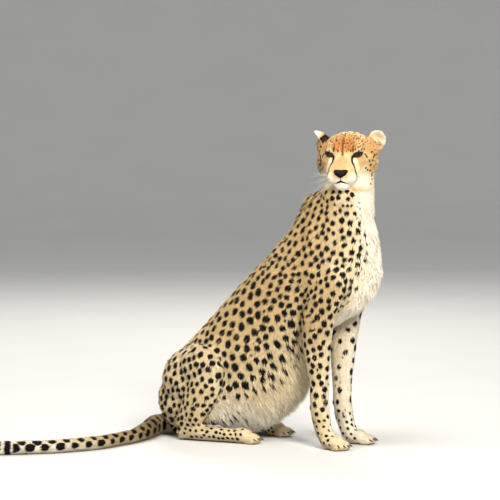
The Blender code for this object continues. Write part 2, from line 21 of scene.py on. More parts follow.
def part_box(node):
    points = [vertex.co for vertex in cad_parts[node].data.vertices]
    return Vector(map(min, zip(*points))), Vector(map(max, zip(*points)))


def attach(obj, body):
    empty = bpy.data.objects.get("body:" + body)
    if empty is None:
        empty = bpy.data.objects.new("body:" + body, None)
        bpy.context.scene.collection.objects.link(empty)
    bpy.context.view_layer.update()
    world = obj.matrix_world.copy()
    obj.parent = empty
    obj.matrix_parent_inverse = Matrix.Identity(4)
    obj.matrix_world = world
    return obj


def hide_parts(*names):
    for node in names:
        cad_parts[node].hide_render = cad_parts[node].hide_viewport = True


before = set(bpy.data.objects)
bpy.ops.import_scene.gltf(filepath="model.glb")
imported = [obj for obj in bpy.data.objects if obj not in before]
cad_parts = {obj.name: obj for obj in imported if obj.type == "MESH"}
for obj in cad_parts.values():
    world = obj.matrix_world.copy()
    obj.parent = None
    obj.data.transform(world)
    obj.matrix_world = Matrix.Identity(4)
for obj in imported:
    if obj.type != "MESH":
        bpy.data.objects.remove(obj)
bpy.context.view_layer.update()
LOG = logging.getLogger("cheetah")

SEED = 20
ROOT = "root"
SIDES = {"left": 1.0, "right": -1.0}

HEAD_PLACE = Vector((0.0635, -0.01, 0.9))  # from the ground midway between the forefeet
HEAD_TURN = (0.0, math.radians(9.5), math.radians(-70.0))
EYE_PLACE = Vector((0.0545, 0.04, 0.0105))  # the left eyeball in the head's own frame
EYE_RADIUS = 0.0165
EYE_OUTWARD = math.radians(20.0)
EAR_PLACE = Vector((-0.02, 0.07, 0.013))  # the left ear's base
EAR_LEAN = math.radians(34.0)
EAR_TURN = {1.0: math.radians(20.0), -1.0: math.radians(78.0)}  # the right ear is turned well back

# The trunk's outline from the rump to the nape: (back x, z), (underside x, z), half-width.
TRUNK = (
    ((-0.596, 0.06), (-0.43, 0.045), 0.075),
    ((-0.607, 0.15), (-0.33, 0.04), 0.1),
    ((-0.555, 0.245), (-0.285, 0.052), 0.108),
    ((-0.468, 0.332), (-0.196, 0.098), 0.108),
    ((-0.37, 0.425), (-0.11, 0.178), 0.108),
    ((-0.278, 0.518), (-0.066, 0.264), 0.11),
    ((-0.198, 0.602), (-0.005, 0.355), 0.114),
    ((-0.14, 0.676), (0.121, 0.434), 0.11),
    ((-0.106, 0.732), (0.169, 0.517), 0.1),
    ((-0.078, 0.772), (0.164, 0.61), 0.092),
    ((-0.025, 0.796), (0.146, 0.7), 0.083),
    ((0.004, 0.847), (0.144, 0.79), 0.081),
    ((0.012, 0.903), (0.136, 0.862), 0.08),
)
# The tail's middle line on the ground: (x, y, half its thickness).
TAIL = (
    (-0.54, -0.01, 0.036),
    (-0.582, -0.052, 0.034),
    (-0.576, -0.115, 0.031),
    (-0.554, -0.18, 0.026),
    (-0.542, -0.26, 0.024),
    (-0.545, -0.345, 0.022),
    (-0.556, -0.44, 0.022),
    (-0.588, -0.525, 0.022),
    (-0.634, -0.595, 0.022),
    (-0.69, -0.655, 0.022),
    (-0.75, -0.705, 0.022),
    (-0.815, -0.74, 0.021),
)

Array = np.ndarray
Colour = tuple[float, float, float]
Material = bpy.types.Material
Piece = bpy.types.Object


# ---------- Small sums ----------


def ease(values: Array, low: float, high: float) -> Array:
    """Rises smoothly from 0 at low to 1 at high."""
    share = np.clip((values - low) / (high - low), 0.0, 1.0)
    return share * share * (3.0 - 2.0 * share)


def unit(vectors: Array) -> Array:
    """The same directions with length one."""
    return vectors / np.maximum(np.linalg.norm(vectors, axis=-1, keepdims=True), 1e-12)


def dot(a: Array, b: Array) -> Array:
    """The dot product of each pair of rows."""
    return np.einsum("...i,...i->...", a, b)


def bell(gap: Array, reach: float) -> Array:
    """1 where the gap is nothing, falling away smoothly over the reach."""
    return np.exp(-((gap / reach) ** 2))


def local(axes: Array, points: Array) -> Array:
    """Places in the frame that a matrix stands for."""
    return (points - axes[:3, 3]) @ axes[:3, :3]


def placed(axes: Array, points: Array) -> Array:
    """Places given in the frame that a matrix stands for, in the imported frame."""
    return points @ axes[:3, :3].T + axes[:3, 3]


def sway(points: Array, wavelength: float, phase: float) -> Array:
    """A slow wavering between -1 and 1 over space, the same on every run.

    Args:
        points: Places, one a row.
        wavelength: How far apart the waves lie.
        phase: Tells one wavering from another.

    Returns:
        One number for each place.
    """
    k = 2.0 * math.pi / wavelength
    x, y, z = points.T
    total = np.sin(k * (0.9 * x + 0.35 * y) + phase) + np.sin(k * (0.8 * y - 0.5 * z) + 2.1 * phase)
    total += np.sin(k * (0.95 * z + 0.4 * x) + 3.7 * phase) + np.sin(k * 1.7 * (x + y - z) + 5.1 * phase)
    return total / 4.0


def length_of(course: Array) -> float:
    """The length of a bent line."""
    return np.linalg.norm(np.diff(course, axis=0), axis=1).sum()


def unrolled(course: Array, points: Array) -> tuple[Array, Array, Array, Array]:
    """Where points lie beside a bent line.

    Args:
        course: The line's points, one a row.
        points: The places asked about.

    Returns:
        The distance along the line, the nearest point on it, its direction there, and the station: the
        number of the line's last point before the place, plus the share of the way to the next one.
    """
    best = np.full(len(points), np.inf)
    along, station = np.zeros((2, len(points)))
    nearest, heading = np.zeros((2, *points.shape))
    passed = 0.0
    for k, (start, step) in enumerate(zip(course[:-1], np.diff(course, axis=0))):
        length = np.linalg.norm(step)
        share = np.clip((points - start) @ step / length**2, 0.0, 1.0)
        place = start + share[:, None] * step
        gap = np.linalg.norm(points - place, axis=1)
        closer = gap < best
        best[closer], station[closer] = gap[closer], k + share[closer]
        along[closer] = passed + share[closer] * length
        nearest[closer], heading[closer] = place[closer], step / length
        passed += length
    return along, nearest, heading, station


# ---------- Meshes ----------


def shaped(name: str, points: Array, faces: Array) -> Piece:
    """A smooth-shaded object in the scene.

    Args:
        name: The object's name.
        points: Its corners, one a row.
        faces: Three corner numbers a row.

    Returns:
        The new object.
    """
    mesh = bpy.data.meshes.new(name)
    mesh.vertices.add(len(points))
    mesh.vertices.foreach_set("co", np.asarray(points, np.float32).ravel())
    mesh.loops.add(faces.size)
    mesh.loops.foreach_set("vertex_index", np.asarray(faces, np.int32).ravel())
    mesh.polygons.add(len(faces))
    mesh.polygons.foreach_set("loop_start", np.arange(0, faces.size, 3, dtype=np.int32))
    mesh.update(calc_edges=True)
    mesh.polygons.foreach_set("use_smooth", np.ones(len(faces), bool))
    obj = bpy.data.objects.new(name, mesh)
    bpy.context.scene.collection.objects.link(obj)
    return obj


def note(obj: Piece, **values: Array) -> None:
    """Stores a number, or a vector, on each corner of the mesh under its name."""
    for name, column in values.items():
        wide = np.ndim(column) == 2
        kind, part = ("FLOAT_VECTOR", "vector") if wide else ("FLOAT", "value")
        layer = obj.data.attributes.new(name, kind, "POINT")
        layer.data.foreach_set(part, np.asarray(column, np.float32).ravel())


def arrays_of(obj: Piece) -> tuple[Array, Array]:
    """The corners and triangles of an object with its modifiers applied."""
    graph = bpy.context.evaluated_depsgraph_get()
    made = obj.evaluated_get(graph)
    mesh = made.to_mesh()
    mesh.calc_loop_triangles()
    points = np.empty(len(mesh.vertices) * 3, np.float32)
    mesh.vertices.foreach_get("co", points)
    faces = np.empty(len(mesh.loop_triangles) * 3, np.int32)
    mesh.loop_triangles.foreach_get("vertices", faces)
    made.to_mesh_clear()
    return points.reshape(-1, 3).astype(float), faces.reshape(-1, 3).astype(np.int64)


def taken(block: Piece) -> "Surface":
    """The surface of a working object with its modifiers applied. The object is then removed."""
    surface = Surface(*arrays_of(block))
    bpy.data.objects.remove(block)
    return surface


def grid_faces(rows: int, columns: int, round_rows: bool = False) -> Array:
    """The triangles of a grid whose columns close on themselves, and its rows too if asked."""
    faces = []
    for i in range(rows if round_rows else rows - 1):
        for j in range(columns):
            a, b = i * columns + j, i * columns + (j + 1) % columns
            c, d = ((i + 1) % rows) * columns + (j + 1) % columns, ((i + 1) % rows) * columns + j
            faces += [(a, b, c), (a, c, d)]
    return np.array(faces)


def fan(middle: int, first: int, count: int) -> Array:
    """The triangles from one corner to a closed ring of corners."""
    ring = np.arange(count)
    return np.column_stack([np.full(count, middle), first + ring, first + (ring + 1) % count])


def ring_turns(count: int) -> Array:
    """So many angles round a circle."""
    return np.linspace(0.0, 2.0 * math.pi, count, endpoint=False)


@dataclass(frozen=True)
class Scatter:
    """Places chosen at random on a surface."""

    tris: Array  # the corners of each place's face
    share: Array  # of each of the three

    def at(self, values: Array) -> Array:
        """A field of the surface at the chosen places."""
        return np.einsum("nk,nk...->n...", self.share, values[self.tris])


class Surface:
    """A triangle mesh as arrays, with the sums over neighbours that shaping it needs."""

    def __init__(self, points: Array, faces: Array) -> None:
        """Keeps the mesh and finds its edges."""
        self.points = points
        self.faces = faces
        ends = np.concatenate([faces[:, [0, 1]], faces[:, [1, 2]], faces[:, [2, 0]]])
        self.edges = np.unique(np.sort(ends, axis=1), axis=0)
        self.degree = np.maximum(np.bincount(self.edges.ravel(), minlength=len(points)), 1)

    def around(self, values: Array) -> Array:
        """The mean of each corner's neighbours."""
        a, b = self.edges.T
        count = len(self.points)
        columns = values.reshape(count, -1)
        total = np.stack(
            [np.bincount(a, c[b], count) + np.bincount(b, c[a], count) for c in columns.T], axis=1
        )
        return (total / self.degree[:, None]).reshape(values.shape)

    def spread(self, values: Array, rounds: int) -> Array:
        """Values blurred over the surface for so many rounds."""
        for _ in range(rounds):
            values = 0.5 * (values + self.around(values))
        return values

    def relax(self, rounds: int, share: Array) -> None:
        """Evens out the surface without shrinking it, as far as share says at each corner."""
        for _ in range(rounds):
            for pull in (0.52, -0.54):
                self.points = self.points + pull * share[:, None] * (self.around(self.points) - self.points)

    def sink(self, depth: Array) -> None:
        """Moves each corner in along its normal."""
        self.points = self.points - depth[:, None] * self.normals()

    def crosses(self) -> Array:
        """Each face's normal, twice its area long."""
        a, b, c = (self.points[self.faces[:, k]] for k in range(3))
        return np.cross(b - a, c - a)

    def areas(self) -> Array:
        """Each face's area."""
        return np.linalg.norm(self.crosses(), axis=1) / 2

    def scattered(self, count: int, weight: Array, rng: np.random.Generator) -> Scatter:
        """So many places chosen at random, each face as often as its weight says."""
        picks = rng.choice(len(weight), count, p=weight / weight.sum())
        return Scatter(self.faces[picks], rng.dirichlet((1.0, 1.0, 1.0), count))

    def normals(self) -> Array:
        """A unit normal for each corner."""
        cross = self.crosses()
        total = np.zeros_like(self.points)
        for k in range(3):
            for axis in range(3):
                total[:, axis] += np.bincount(self.faces[:, k], cross[:, axis], len(self.points))
        return unit(total)

    def largest(self) -> "Surface":
        """The piece of the surface with the most corners."""
        label = np.arange(len(self.points))
        a, b = self.edges.T
        while True:
            low = np.minimum(label[a], label[b])
            new = label.copy()
            np.minimum.at(new, a, low)
            np.minimum.at(new, b, low)
            new = new[new]
            if (new == label).all():
                break
            label = new
        keep = label == np.bincount(label).argmax()
        number = np.cumsum(keep) - 1
        return Surface(self.points[keep], number[self.faces[keep[self.faces[:, 0]]]])


# ---------- Materials ----------


@dataclass(frozen=True)
class Value:
    """A socket that takes part in sums. Each operation adds a node."""

    shade: "Shade"
    socket: bpy.types.NodeSocket

    def _math(self, operation: str, first: Any, second: Any) -> "Value":
        """Adds a Math node."""
        return self.shade.add("ShaderNodeMath", {"operation": operation}, {0: first, 1: second})

    def __add__(self, other: Any) -> "Value":
        """self + other"""
        return self._math("ADD", self, other)

    def __radd__(self, other: Any) -> "Value":
        """other + self"""
        return self._math("ADD", other, self)

    def __sub__(self, other: Any) -> "Value":
        """self - other"""
        return self._math("SUBTRACT", self, other)

    def __rsub__(self, other: Any) -> "Value":
        """other - self"""
        return self._math("SUBTRACT", other, self)

    def __mul__(self, other: Any) -> "Value":
        """self * other"""
        return self._math("MULTIPLY", self, other)

    def __rmul__(self, other: Any) -> "Value":
        """other * self"""
        return self._math("MULTIPLY", other, self)

    def ease(self, low: float, high: float) -> "Value":
        """Rises smoothly from 0 at low to 1 at high."""
        return self.shade.add(
            "ShaderNodeMapRange",
            {"interpolation_type": "SMOOTHSTEP"},
            {"Value": self, "From Min": low, "From Max": high, "To Min": 0.0, "To Max": 1.0},
        )


class Shade:
    """One material's nodes."""

    def __init__(self, name: str) -> None:
        """Starts a material that holds an output and a shader."""
        self.material = bpy.data.materials.new(name)
        self.material.use_nodes = True
        self.tree = self.material.node_tree
        self.tree.nodes.clear()
        self.surface = self.tree.nodes.new("ShaderNodeBsdfPrincipled")
        output = self.tree.nodes.new("ShaderNodeOutputMaterial")
        self.tree.links.new(self.surface.outputs["BSDF"], output.inputs["Surface"])

    def _feed(self, socket: bpy.types.NodeSocket, given: Any) -> None:
        """Links a value to a socket, or sets a plain one on it."""
        if isinstance(given, Value):
            self.tree.links.new(given.socket, socket)
        elif isinstance(given, tuple) and socket.type == "RGBA":
            socket.default_value = (*given[:3], 1.0)
        else:
            socket.default_value = given

    def add(self, kind: str, settings: dict[str, Any], inputs: dict[Any, Any], output: Any = 0) -> Value:
        """Adds a node.

        Args:
            kind: The node's type.
            settings: What is set on the node itself, before its sockets. A ramp's stops go under "stops".
            inputs: Values or links by socket name or number.
            output: The socket that the result stands for.

        Returns:
            The node's output.
        """
        node = self.tree.nodes.new(kind)
        for name, setting in settings.items():
            if name == "stops":
                for k, (place, colour) in enumerate(setting):
                    ramp = node.color_ramp.elements
                    stop = ramp[k] if k < 2 else ramp.new(place)
                    stop.position, stop.color = place, (*colour, 1.0)
            else:
                setattr(node, name, setting)
        for name, given in inputs.items():
            self._feed(node.inputs[name], given)
        return Value(self, node.outputs[output])

    def stored(self, name: str, vector: bool = False) -> Value:
        """What the mesh stores on its corners under a name."""
        return self.add("ShaderNodeAttribute", {"attribute_name": name}, {}, "Vector" if vector else "Fac")

    def mix(self, share: Any, first: Any, second: Any, blend: str = "MIX") -> Value:
        """A colour between two."""
        settings = {"data_type": "RGBA", "blend_type": blend}
        return self.add("ShaderNodeMix", settings, {0: share, 6: first, 7: second}, 2)

    def noise(self, scale: float, detail: float = 2.0, where: Value | None = None) -> Value:
        """Cloudy noise in the object's own space, or along the given vector."""
        where = where or self.add("ShaderNodeTexCoord", {}, {}, "Object")
        return self.add("ShaderNodeTexNoise", {}, {"Vector": where, "Scale": scale, "Detail": detail})

    def bump(self, height: Value, strength: float, distance: float) -> Value:
        """A bumped normal."""
        inputs = {"Strength": strength, "Distance": distance, "Height": height}
        return self.add("ShaderNodeBump", {}, inputs)

    def finish(self, **inputs: Any) -> Material:
        """Feeds the shader, its sockets named with _ for a space, and gives the material."""
        for name, given in inputs.items():
            self._feed(self.surface.inputs[name.replace("_", " ")], given)
        return self.material


@dataclass(frozen=True)
class CoatFinish:
    """Fur: golden tan above, cream on the flank, white below, with black marks."""

    name: str
    bumpy: bool
    tan: Colour = (0.63, 0.455, 0.225)
    cream: Colour = (0.8, 0.67, 0.43)
    white: Colour = (0.91, 0.865, 0.75)
    orange: Colour = (0.47, 0.205, 0.056)
    rust: Colour = (0.12, 0.04, 0.015)
    black: Colour = (0.009, 0.006, 0.005)
    brown: Colour = (0.085, 0.03, 0.011)
    dim: Colour = (0.72, 0.68, 0.64)  # what a tone of -1 multiplies the coat by
    dimmer: Colour = (0.6, 0.56, 0.52)  # and a tone of -3 once more

    def made(self) -> Material:
        """Builds the material from what the skin and each tuft store: dark, pale, warm and tone."""
        s = Shade(self.name)
        pale, warm, tone = s.stored("pale"), s.stored("warm"), s.stored("tone")
        ragged = (s.noise(260.0) - 0.5) * 1.6
        mark = 1.0 - (s.stored("dark") * 1000.0 + ragged).ease(-0.9, 0.9)
        colour = s.mix(pale.ease(0.0, 0.5), self.tan, self.cream)
        colour = s.mix(pale.ease(0.5, 1.0), colour, self.white)
        colour = s.mix(warm.ease(0.0, 1.0), colour, self.orange)
        colour = s.mix(warm.ease(1.0, 2.0), colour, self.rust)
        # the tone darkens the coat: partly at random, partly painted shade in the folds and on the shaded
        # parts
        for low, high, dim in ((-1.0, 1.0, self.dim), (-3.0, -1.0, self.dimmer)):
            colour = s.mix(tone.ease(low, high), s.mix(1.0, colour, dim, "MULTIPLY"), colour)
        colour = s.mix(tone.ease(0.4, 1.6) * 0.35, colour, self.white)
        ink = s.mix(warm.ease(0.3, 1.0) * 0.85, self.black, self.brown)
        colour = s.mix(mark, colour, ink)
        inputs = {"Base_Color": colour, "Roughness": 0.7 + mark * 0.2}
        if self.bumpy:
            inputs["Normal"] = s.bump(s.noise(900.0, 3.0), 0.6, 0.0008)
        return s.finish(**inputs, Specular_IOR_Level=0.14)


@dataclass(frozen=True)
class NoseFinish:
    """The nose pad's black, pebbled and moist skin."""

    name: str = "nose_skin"
    dark: Colour = (0.005, 0.004, 0.004)
    worn: Colour = (0.012, 0.009, 0.008)

    def made(self) -> Material:
        """Builds the material."""
        s = Shade(self.name)
        where = s.add("ShaderNodeTexCoord", {}, {}, "Object")
        pebbles = s.add("ShaderNodeTexVoronoi", {"feature": "F1"}, {"Vector": where, "Scale": 1100.0})
        colour = s.mix(s.noise(300.0).ease(0.4, 0.7), self.dark, self.worn)
        rough = 0.55 + s.noise(500.0) * 0.2
        normal = s.bump(pebbles, 0.55, 0.0006)
        return s.finish(Base_Color=colour, Roughness=rough, Normal=normal, Specular_IOR_Level=0.12)


@dataclass(frozen=True)
class LidFinish:
    """The black, slightly moist edges of the eyelids."""

    name: str = "lid_skin"
    dark: Colour = (0.009, 0.006, 0.005)
    brown: Colour = (0.03, 0.018, 0.012)

    def made(self) -> Material:
        """Builds the material."""
        s = Shade(self.name)
        colour = s.mix(s.noise(420.0).ease(0.35, 0.7), self.dark, self.brown)
        rough = 0.6 + s.noise(700.0) * 0.2
        normal = s.bump(s.noise(1500.0), 0.4, 0.0004)
        return s.finish(Base_Color=colour, Roughness=rough, Normal=normal, Specular_IOR_Level=0.16)


@dataclass(frozen=True)
class EyeFinish:
    """A dark amber iris with a round pupil, under a wet clear front."""

    name: str = "eye_glass"
    pupil: Colour = (0.003, 0.002, 0.002)
    inner: Colour = (0.092, 0.033, 0.009)
    outer: Colour = (0.042, 0.015, 0.005)
    # also the colour of the painted shadow under the upper lid
    edge: Colour = (0.01, 0.006, 0.004)

    def made(self) -> Material:
        """Builds the material from the angle away from the pupil's middle, in degrees."""
        s = Shade(self.name)
        ring = s.stored("ring")
        fibres = s.noise(9.0, 3.0, s.stored("spoke", True))
        iris = s.mix(ring.ease(20.0, 42.0), self.inner, self.outer)
        iris = s.mix(fibres.ease(0.35, 0.65) * 0.55, iris, self.edge)
        colour = s.mix(ring.ease(19.0, 21.5), self.pupil, iris)
        colour = s.mix(ring.ease(40.0, 47.0), colour, self.edge)
        # painted shadow of the upper lid over the top of the eye
        colour = s.mix(s.stored("lidded").ease(0.0, 1.0) * 0.8, colour, self.edge)
        return s.finish(
            Base_Color=colour,
            Roughness=0.3 - fibres * 0.05,
            Specular_IOR_Level=0.08,
            Coat_Weight=0.55,
            Coat_Roughness=0.03,
            IOR=1.38,
        )


@dataclass(frozen=True)
class ClawFinish:
    """Dark horn mottled with paler patches, fairly smooth."""

    name: str = "claw_horn"
    dark: Colour = (0.03, 0.021, 0.016)
    pale: Colour = (0.18, 0.135, 0.095)

    def made(self) -> Material:
        """Builds the material."""
        s = Shade(self.name)
        colour = s.mix(s.noise(160.0, 4.0).ease(0.35, 0.75), self.dark, self.pale)
        rough = 0.32 + s.noise(600.0) * 0.2
        return s.finish(Base_Color=colour, Roughness=rough, Normal=s.bump(s.noise(900.0), 0.3, 0.0003))


@dataclass(frozen=True)
class WhiskerFinish:
    """Stiff white hairs, a little darker at the root."""

    name: str = "whisker_hair"
    tip: Colour = (0.86, 0.84, 0.79)
    root: Colour = (0.42, 0.36, 0.29)

    def made(self) -> Material:
        """Builds the material from how far along the hair a point is."""
        s = Shade(self.name)
        colour = s.mix(s.stored("along").ease(0.0, 0.35), self.root, self.tip)
        return s.finish(Base_Color=colour, Roughness=0.35 + s.noise(300.0) * 0.1)


@dataclass(frozen=True)
class FloorFinish:
    """The studio's plain pale floor."""

    name: str = "studio_floor"
    pale: Colour = (0.56, 0.55, 0.53)
    dull: Colour = (0.52, 0.51, 0.49)

    def made(self) -> Material:
        """Builds the material."""
        s = Shade(self.name)
        colour = s.mix(s.noise(3.0, 4.0), self.pale, self.dull)
        return s.finish(Base_Color=colour, Roughness=0.85)


# ---------- The body's own measures ----------


class Stance:
    """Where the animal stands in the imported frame, read from its eyes, and how its head is turned."""

    def __init__(self) -> None:
        """Finds the shift from the body's frame, whose origin is on the ground between the forefeet."""
        own = Euler(HEAD_TURN).to_matrix().to_4x4()
        own.translation = HEAD_PLACE
        corners = [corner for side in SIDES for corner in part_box(f"eye_{side}")]
        middle = sum(corners, Vector()) / len(corners)
        self.shift = middle - own @ Vector((EYE_PLACE.x, 0.0, EYE_PLACE.z))
        self.head = Matrix.Translation(self.shift) @ own
        self.offset = np.array(self.shift)
        inverse = np.array(self.head.inverted())
        self._turn, self._move = inverse[:3, :3], inverse[:3, 3]
        self.tail_course = np.array(TAIL) + self.offset * (1, 1, 0)

    def in_head(self, points: Array) -> Array:
        """Places in the head's own frame: forward, to its left, up."""
        return points @ self._turn.T + self._move

    def from_head(self, points: Array) -> Array:
        """Places given in the head's own frame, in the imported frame."""
        return placed(np.array(self.head), np.asarray(points))

    def eye(self, side: float) -> Array:
        """An eyeball's own frame: +X is where it looks."""
        middle = Vector((EYE_PLACE.x, side * EYE_PLACE.y, EYE_PLACE.z))
        look = Euler((0.0, 0.0, side * EYE_OUTWARD)).to_matrix().to_4x4()
        return np.array(self.head @ Matrix.Translation(middle) @ look)

    def ear(self, side: float) -> Array:
        """An ear's own frame: +Z runs from base to tip, and +X is where its opening faces."""
        base = Matrix.Translation((EAR_PLACE.x, side * EAR_PLACE.y, EAR_PLACE.z))
        lean = Matrix.Rotation(-side * EAR_LEAN, 4, "X")
        turn = Matrix.Rotation(side * EAR_TURN[side], 4, "Z")
        return np.array(self.head @ base @ lean @ turn)

    def trunk(self, points: Array) -> tuple[Array, Array, Array]:
        """How points lie on the trunk.

        Args:
            points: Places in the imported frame.

        Returns:
            The station from 0 at the rump to 12 at the nape, the angle in degrees from the underside's
            middle line round to the spine, and the direction from head to rump.
        """
        own = points - self.offset
        flat = own[:, [0, 2]]
        backs, bellies, wide = (np.array(column) for column in zip(*TRUNK))
        middles = (backs + bellies) / 2
        _, _, towards, station = unrolled(middles, flat)
        rows = np.arange(len(TRUNK))
        middle = np.stack([np.interp(station, rows, middles[:, k]) for k in (0, 1)], axis=1)
        half = np.stack([np.interp(station, rows, (bellies - middles)[:, k]) for k in (0, 1)], axis=1)
        height = np.linalg.norm(half, axis=1)
        down = dot(flat - middle, half / height[:, None]) / height
        across = np.abs(own[:, 1]) / np.interp(station, rows, wide)
        angle = np.degrees(np.arctan2(across, down))
        return station, angle, np.stack([-towards[:, 0], np.zeros(len(own)), -towards[:, 1]], axis=1)


@dataclass(frozen=True)
class Opening:
    """The almond gap between the eyelids, in the eyeball's frame."""

    half_width: float = 0.0142
    above: float = 0.0058
    below: float = 0.0076
    slope: float = 0.16
    corner_drop: float = 0.003
    corners: int = 64

    def outline(self, side: float) -> Array:
        """The gap's edge as (across, up) pairs, closed.

        Args:
            side: 1 for the left eye, -1 for the right.

        Returns:
            One pair a row, in order round the eye.
        """
        turn = ring_turns(self.corners)
        outer, rise = np.cos(turn), np.sin(turn)
        up = np.where(rise > 0, self.above * np.abs(rise) ** 0.62, -self.below * np.abs(rise) ** 0.85)
        up += self.slope * self.half_width * outer
        up -= self.corner_drop * np.clip(-outer - 0.72, 0.0, 1.0) / 0.28
        return np.stack([side * self.half_width * outer, up], axis=1)

    def outside(self, side: float, pairs: Array) -> Array:
        """How far (across, up) pairs lie outside the gap, negative inside it."""
        edge = self.outline(side)
        turn = np.arctan2(edge[:, 1], edge[:, 0])
        order = np.argsort(turn)
        reach = np.interp(
            np.arctan2(pairs[:, 1], pairs[:, 0]),
            turn[order],
            np.linalg.norm(edge, axis=1)[order],
            period=2.0 * math.pi,
        )
        return np.linalg.norm(pairs, axis=1) - reach


class NosePad:
    """The outline of the nose pad, seen from ahead in the head's own frame."""

    MIDDLE = (0.0, -0.0365)
    ANGLES = (-90.0, -49.0, -29.0, -14.0, 4.0, 19.0, 30.0, 45.0, 68.0, 90.0)
    REACHES = (0.0144, 0.0134, 0.0148, 0.018, 0.0228, 0.0254, 0.0224, 0.0174, 0.0138, 0.0127)

    @classmethod
    def reach(cls, turn: Array) -> Array:
        """How far the outline is from its middle at each angle, counted from the left side upwards."""
        rise = np.degrees(np.arcsin(np.sin(turn)))
        return np.interp(rise, cls.ANGLES, cls.REACHES)

    @classmethod
    def share(cls, own: Array) -> Array:
        """How far places are from the pad's middle, as a share of the way to its outline."""
        y, z = own[:, 1] - cls.MIDDLE[0], own[:, 2] - cls.MIDDLE[1]
        return np.hypot(y, z) / cls.reach(np.arctan2(z, np.abs(y)))


class Lie(Enum):
    """Which way the hair grows."""

    FROM_NOSE = "away from the nose"
    ALONG_EAR = "from the ear's base to its tip"
    ALONG_TRUNK = "from the head to the rump"
    DOWN_ARM = "down the foreleg"
    DOWN_THIGH = "down the thigh"
    DOWN_SHANK = "from the knee to the heel"
    TO_TOES = "over the foot to the toes"
    ALONG_TAIL = "from the tail's root to its tip"


@dataclass(frozen=True)
class Pelt:
    """How the coat grows on one part of the body."""

    region: str  # in the names of the coat's pieces
    lie: Lie
    depth: float  # from the skin to the solids' outline
    length: float
    width: float
    lift: float  # degrees that a hair stands off the skin
    room: float  # skin for each tuft, in square millimetres
    spot: float  # radius of the black spots
    gap: float  # between the spots' middles


PELTS = {
    "head": Pelt("head", Lie.FROM_NOSE, 0.0022, 0.0062, 0.0012, 17.0, 2.0, 0.0028, 0.0104),
    "ear": Pelt("ears", Lie.ALONG_EAR, 0.0008, 0.006, 0.0011, 15.0, 2.2, 0.0, 0.0),
    "neck": Pelt("neck", Lie.ALONG_TRUNK, 0.008, 0.013, 0.0021, 20.0, 5.0, 0.0087, 0.0203),
    "chest": Pelt("chest", Lie.ALONG_TRUNK, 0.0074, 0.014, 0.0022, 20.0, 5.6, 0.0097, 0.0218),
    "abdomen": Pelt("flank", Lie.ALONG_TRUNK, 0.0062, 0.014, 0.0022, 20.0, 5.6, 0.0128, 0.0297),
    "rump": Pelt("rump", Lie.ALONG_TRUNK, 0.006, 0.014, 0.0022, 20.0, 5.4, 0.0117, 0.0258),
    "upper_arm": Pelt("shoulder", Lie.DOWN_ARM, 0.0055, 0.0125, 0.002, 20.0, 5.0, 0.0103, 0.023),
    "forearm": Pelt("foreleg", Lie.DOWN_ARM, 0.004, 0.0095, 0.0016, 18.0, 3.9, 0.0099, 0.0236),
    "forefoot": Pelt("foreleg", Lie.TO_TOES, 0.0028, 0.0065, 0.0013, 16.0, 2.9, 0.005, 0.0185),
    "thigh": Pelt("thigh", Lie.DOWN_THIGH, 0.0055, 0.0125, 0.002, 20.0, 5.0, 0.0116, 0.025),
    "shank": Pelt("hindleg", Lie.DOWN_SHANK, 0.0045, 0.011, 0.0018, 18.0, 4.4, 0.009, 0.0215),
    "hindfoot": Pelt("hindleg", Lie.TO_TOES, 0.0028, 0.0065, 0.0013, 16.0, 2.9, 0.0052, 0.016),
    "tail": Pelt("tail", Lie.ALONG_TAIL, 0.005, 0.0125, 0.0019, 20.0, 4.8, 0.0, 0.0),
}
FLESH = [node for node in sorted(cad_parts) if node.startswith(tuple(PELTS))]


def pelt_of(node: str) -> Pelt:
    """The coat that grows on a node."""
    return next(pelt for start, pelt in PELTS.items() if node.startswith(start))


# ---------- The skin ----------

# the face's box in the head's own frame, in which the mesh is finer: from and to, along each axis
FACE_BOX = ((0.04, 1.0), (-0.075, 0.075), (-0.115, 0.045))
EAR_SHORTER = 0.1  # by this share of their height
EAR_LOWER = 0.002
EAR_HOLLOW = {"left": 0.0055, "right": 0.0015}  # how far the floor of the bowl comes forward
EAR_FILL = {"left": 0.015, "right": 0.0}  # how far the fur below the outer edge stands out
BACK_DRAWN_IN = 0.012
# the whisker pads and the brows: place in the head's own frame, flattening, height, reach
SWELLINGS = (((0.114, 0.024, -0.056), 0.8, 0.0022, 0.013), ((0.058, 0.036, 0.03), 1.0, 0.0022, 0.012))
MUZZLE_FRONT = 0.1  # what lies further forward belongs to the muzzle's end
NOSE_HOLLOW = 0.0085  # how deep the skin lies behind the nose pad
LID_THICK = 0.0017
LID_EDGE = 0.0003  # from the gap's outline
LID_TUCK = 0.0035  # how deep the skin goes behind the ball's surface in the gap


